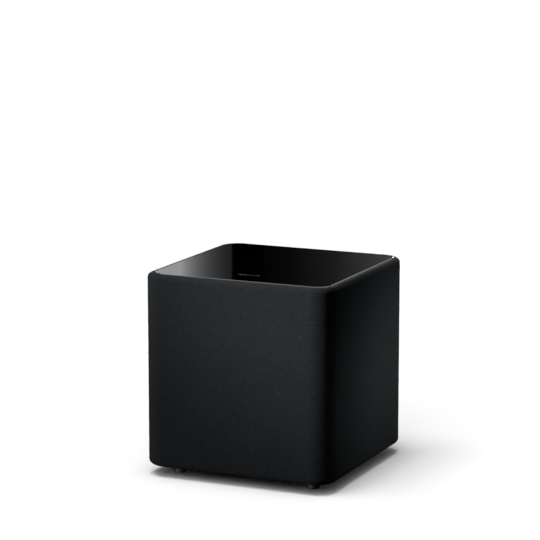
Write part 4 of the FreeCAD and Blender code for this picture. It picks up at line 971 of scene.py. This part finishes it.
def seen_by(thing, camera=False, glossy=False):
    """Hides a stage object from every ray but those named."""
    thing.visible_camera = camera
    thing.visible_glossy = glossy
    thing.visible_diffuse = False
    thing.visible_transmission = False
    thing.visible_shadow = False


def make_floor():
    """A plain white floor that runs out into a white dome."""
    reach, paint_white = 9.0, (0.86, 0.86, 0.86)
    bm = bmesh.new()
    bmesh.ops.create_circle(bm, cap_ends=True, radius=reach, segments=64)
    paint = Finish("floor_paint", paint_white, 1.0, Specular_IOR_Level=0.0)
    patches = paint.noise(paint.place(), 3.0)
    paint.set("Base Color", paint.shade(paint_white, patches, 0.995, 1.0))
    floor = new_piece("floor", bm, paint.material, smooth=False)
    floor.visible_diffuse = False
    floor.visible_glossy = False
    floor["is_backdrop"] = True
    bm = bmesh.new()
    bmesh.ops.create_uvsphere(bm, u_segments=48, v_segments=24, radius=reach)
    dome = new_piece("dome", bm, glow("dome_white", 1.0)[0])
    seen_by(dome, camera=True)
    dome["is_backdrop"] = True
    return floor


def collect(name, things):
    """Gathers objects for light linking."""
    group = bpy.data.collections.new(name)
    for thing in things:
        group.objects.link(thing)
    return group


WALL_BEHIND, WALL_WIDE, WALL_TALL = 3.0, 1.6, 2.2
WALL_EDGE = -0.1238
CEILING_UP = 1.6
MIRROR = ("top_panel", "top_inlay")


def card(name, material, width, low, high):
    """An upright card that only mirror rays see, centred on its own foot and facing -Y."""
    bm = bmesh.new()
    for x, z in ((-1, low), (1, low), (1, high), (-1, high)):
        bm.verts.new((x * width / 2, 0, z))
    bm.faces.new(bm.verts)
    sheet = new_piece(name, bm, material, smooth=False)
    seen_by(sheet, glossy=True)
    sheet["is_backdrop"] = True
    return sheet


def make_reflections():
    """What the panel mirrors: a bright wall with a hard edge, a dark gap, then a slow rise.

    From the photo's viewpoint the other cards show only in the panel's rounded edges and its bar.
    """
    fade_from, fade, glow_there, most_glow = -0.27, -20.5, 0.68, 0.80
    material, emission = glow("wall_glow", 1.0)
    nodes = Nodes(material.node_tree)
    across = nodes.axis(nodes.place(), "x")
    past = nodes.math("SUBTRACT", across, fade_from)
    falling = nodes.math("EXPONENT", nodes.math("MULTIPLY", past, fade))
    wall = nodes.math("MINIMUM", nodes.math("MULTIPLY", falling, glow_there), most_glow)
    on_wall = nodes.math("LESS_THAN", across, WALL_EDGE)
    off_wall = nodes.math("SUBTRACT", 1.0, on_wall)
    rise = nodes.ramp(nodes.math("ADD", across, 0.5), (0.44, 0.0), (0.56, 0.0075),
                      (0.68, 0.027), (0.80, 0.085), (0.87, 0.15))
    nodes.fill(emission.inputs["Strength"], nodes.math(
        "ADD", nodes.math("MULTIPLY", wall, on_wall), nodes.math("MULTIPLY", rise, off_wall)))
    wall_card = card("reflection_wall", material, WALL_WIDE, 0.0, WALL_TALL)
    wall_card.location = VIEW_WAY * WALL_BEHIND
    wall_card.rotation_euler = (0, 0, VIEW_TURN)
    ceiling_glow = glow("ceiling_glow", 4.0)[0]
    strip = card("reflection_strip", ceiling_glow, 2.3, -0.75, -0.20)
    block = card("reflection_block", ceiling_glow, 0.85, -0.20, 1.20)
    for sheet, x in ((strip, 0.05), (block, 0.775)):
        sheet.location = (x, 0.0, CEILING_UP)
        sheet.rotation_euler = (-math.pi / 2, 0, 0)
    side = card("reflection_side", glow("side_glow", 1.7)[0], 0.7, -0.35, 0.35)
    side.location = (0.56, 1.85, 1.20)
    mirror = collect("mirror", [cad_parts[name] for name in MIRROR])
    for sheet in (wall_card, strip, block, side):
        sheet.light_linking.receiver_collection = mirror


def new_light(name, kind, power, receivers, **settings):
    """A light that shines only on one collection."""
    data = bpy.data.lights.new(name, kind)
    data.energy = power
    for setting, value in settings.items():
        setattr(data, setting, value)
    light = bpy.data.objects.new(name, data)
    light.light_linking.receiver_collection = receivers
    scene.collection.objects.link(light)
    return light


def lamp(name, kind, place, aim, power, receivers, **settings):
    """A lamp at a place, aimed at a point and never seen itself."""
    light = new_light(name, kind, power, receivers, **settings)
    light.location = place
    light.rotation_euler = (Vector(aim) - Vector(place)).to_track_quat("-Z", "Y").to_euler()
    light.visible_camera = False


def softbox(name, place, aim, width, height, power, receivers):
    """A flat rectangular lamp."""
    lamp(name, "AREA", place, aim, power, receivers, shape="RECTANGLE", size=width, size_y=height)


def spotlight(name, place, aim, power, cone, softness, receivers):
    """A soft-edged spot: the cone in degrees, the softness as the bulb's radius."""
    lamp(name, "SPOT", place, aim, power, receivers, spot_size=math.radians(cone), spot_blend=1.0,
         shadow_soft_size=softness)


def sky(name, elevation, azimuth, width, strength, receivers):
    """A sun with a wide disc, which casts a soft shadow; all angles are in degrees."""
    light = new_light(name, "SUN", strength, receivers, angle=math.radians(width))
    rise, turn = math.radians(elevation), math.radians(azimuth)
    level = Vector((math.sin(turn), -math.cos(turn), 0)) * math.cos(rise)
    towards = level + Vector((0, 0, math.sin(rise)))
    light.rotation_euler = towards.to_track_quat("Z", "Y").to_euler()


FRONT_LEFT = (-1.41, -1.87, 1.06)


def light_stage(floor):
    """Suns for the floor's shadow; softboxes and spots for the object; a black world."""
    scene.view_settings.view_transform = "Standard"
    world = bpy.data.worlds.new("world")
    world.use_nodes = True
    world.node_tree.nodes["Background"].inputs["Color"].default_value = (0, 0, 0, 1)
    scene.world = world
    ground = collect("ground", [floor])
    subject = collect("subject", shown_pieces())
    unmirrored = collect("unmirrored", [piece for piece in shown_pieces()
                                        if piece.name not in MIRROR])
    feet = collect("feet", [node for name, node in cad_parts.items()
                            if name.startswith("foot_")])
    sky("zenith", 89, 0, 18, 1.46, ground)
    sky("high_left", 72, -55, 22, 0.93, ground)
    sky("low_front", 45, 0, 55, 0.97, ground)
    sky("dome_light", 88, 0, 160, 0.86, ground)
    softbox("front_left", FRONT_LEFT, (0, -0.17, 0.2), 0.7, 0.7, 21, subject)
    spotlight("front_spot", FRONT_LEFT, (0.17, -0.17, 0.33), 197, 15, 0.12, subject)
    softbox("overhead", (0.0, -0.1, 1.8), (0.0, 0.0, 0.3), 1.0, 1.0, 6.5, unmirrored)
    spotlight("right_spot", (1.68, 1.40, 0.65), (0.175, 0.13, 0.19), 87, 12.5, 0.10, subject)
    softbox("foot_fill", (-0.4, -1.3, 0.06), (0.0, -0.12, 0.01), 0.5, 0.05, 9, feet)
    softbox("rear_fill", (-0.35, 2.4, 0.5), (0.0, 0.17, 0.18), 0.6, 0.9, 45, subject)


# ---------------------------------------------------------------- making
dress_cad_nodes()
make_camera()
make_sleeve()
make_wadding()
make_surround()
make_spider()
make_dial_marks()
stage_floor = make_floor()
make_reflections()
light_stage(stage_floor)
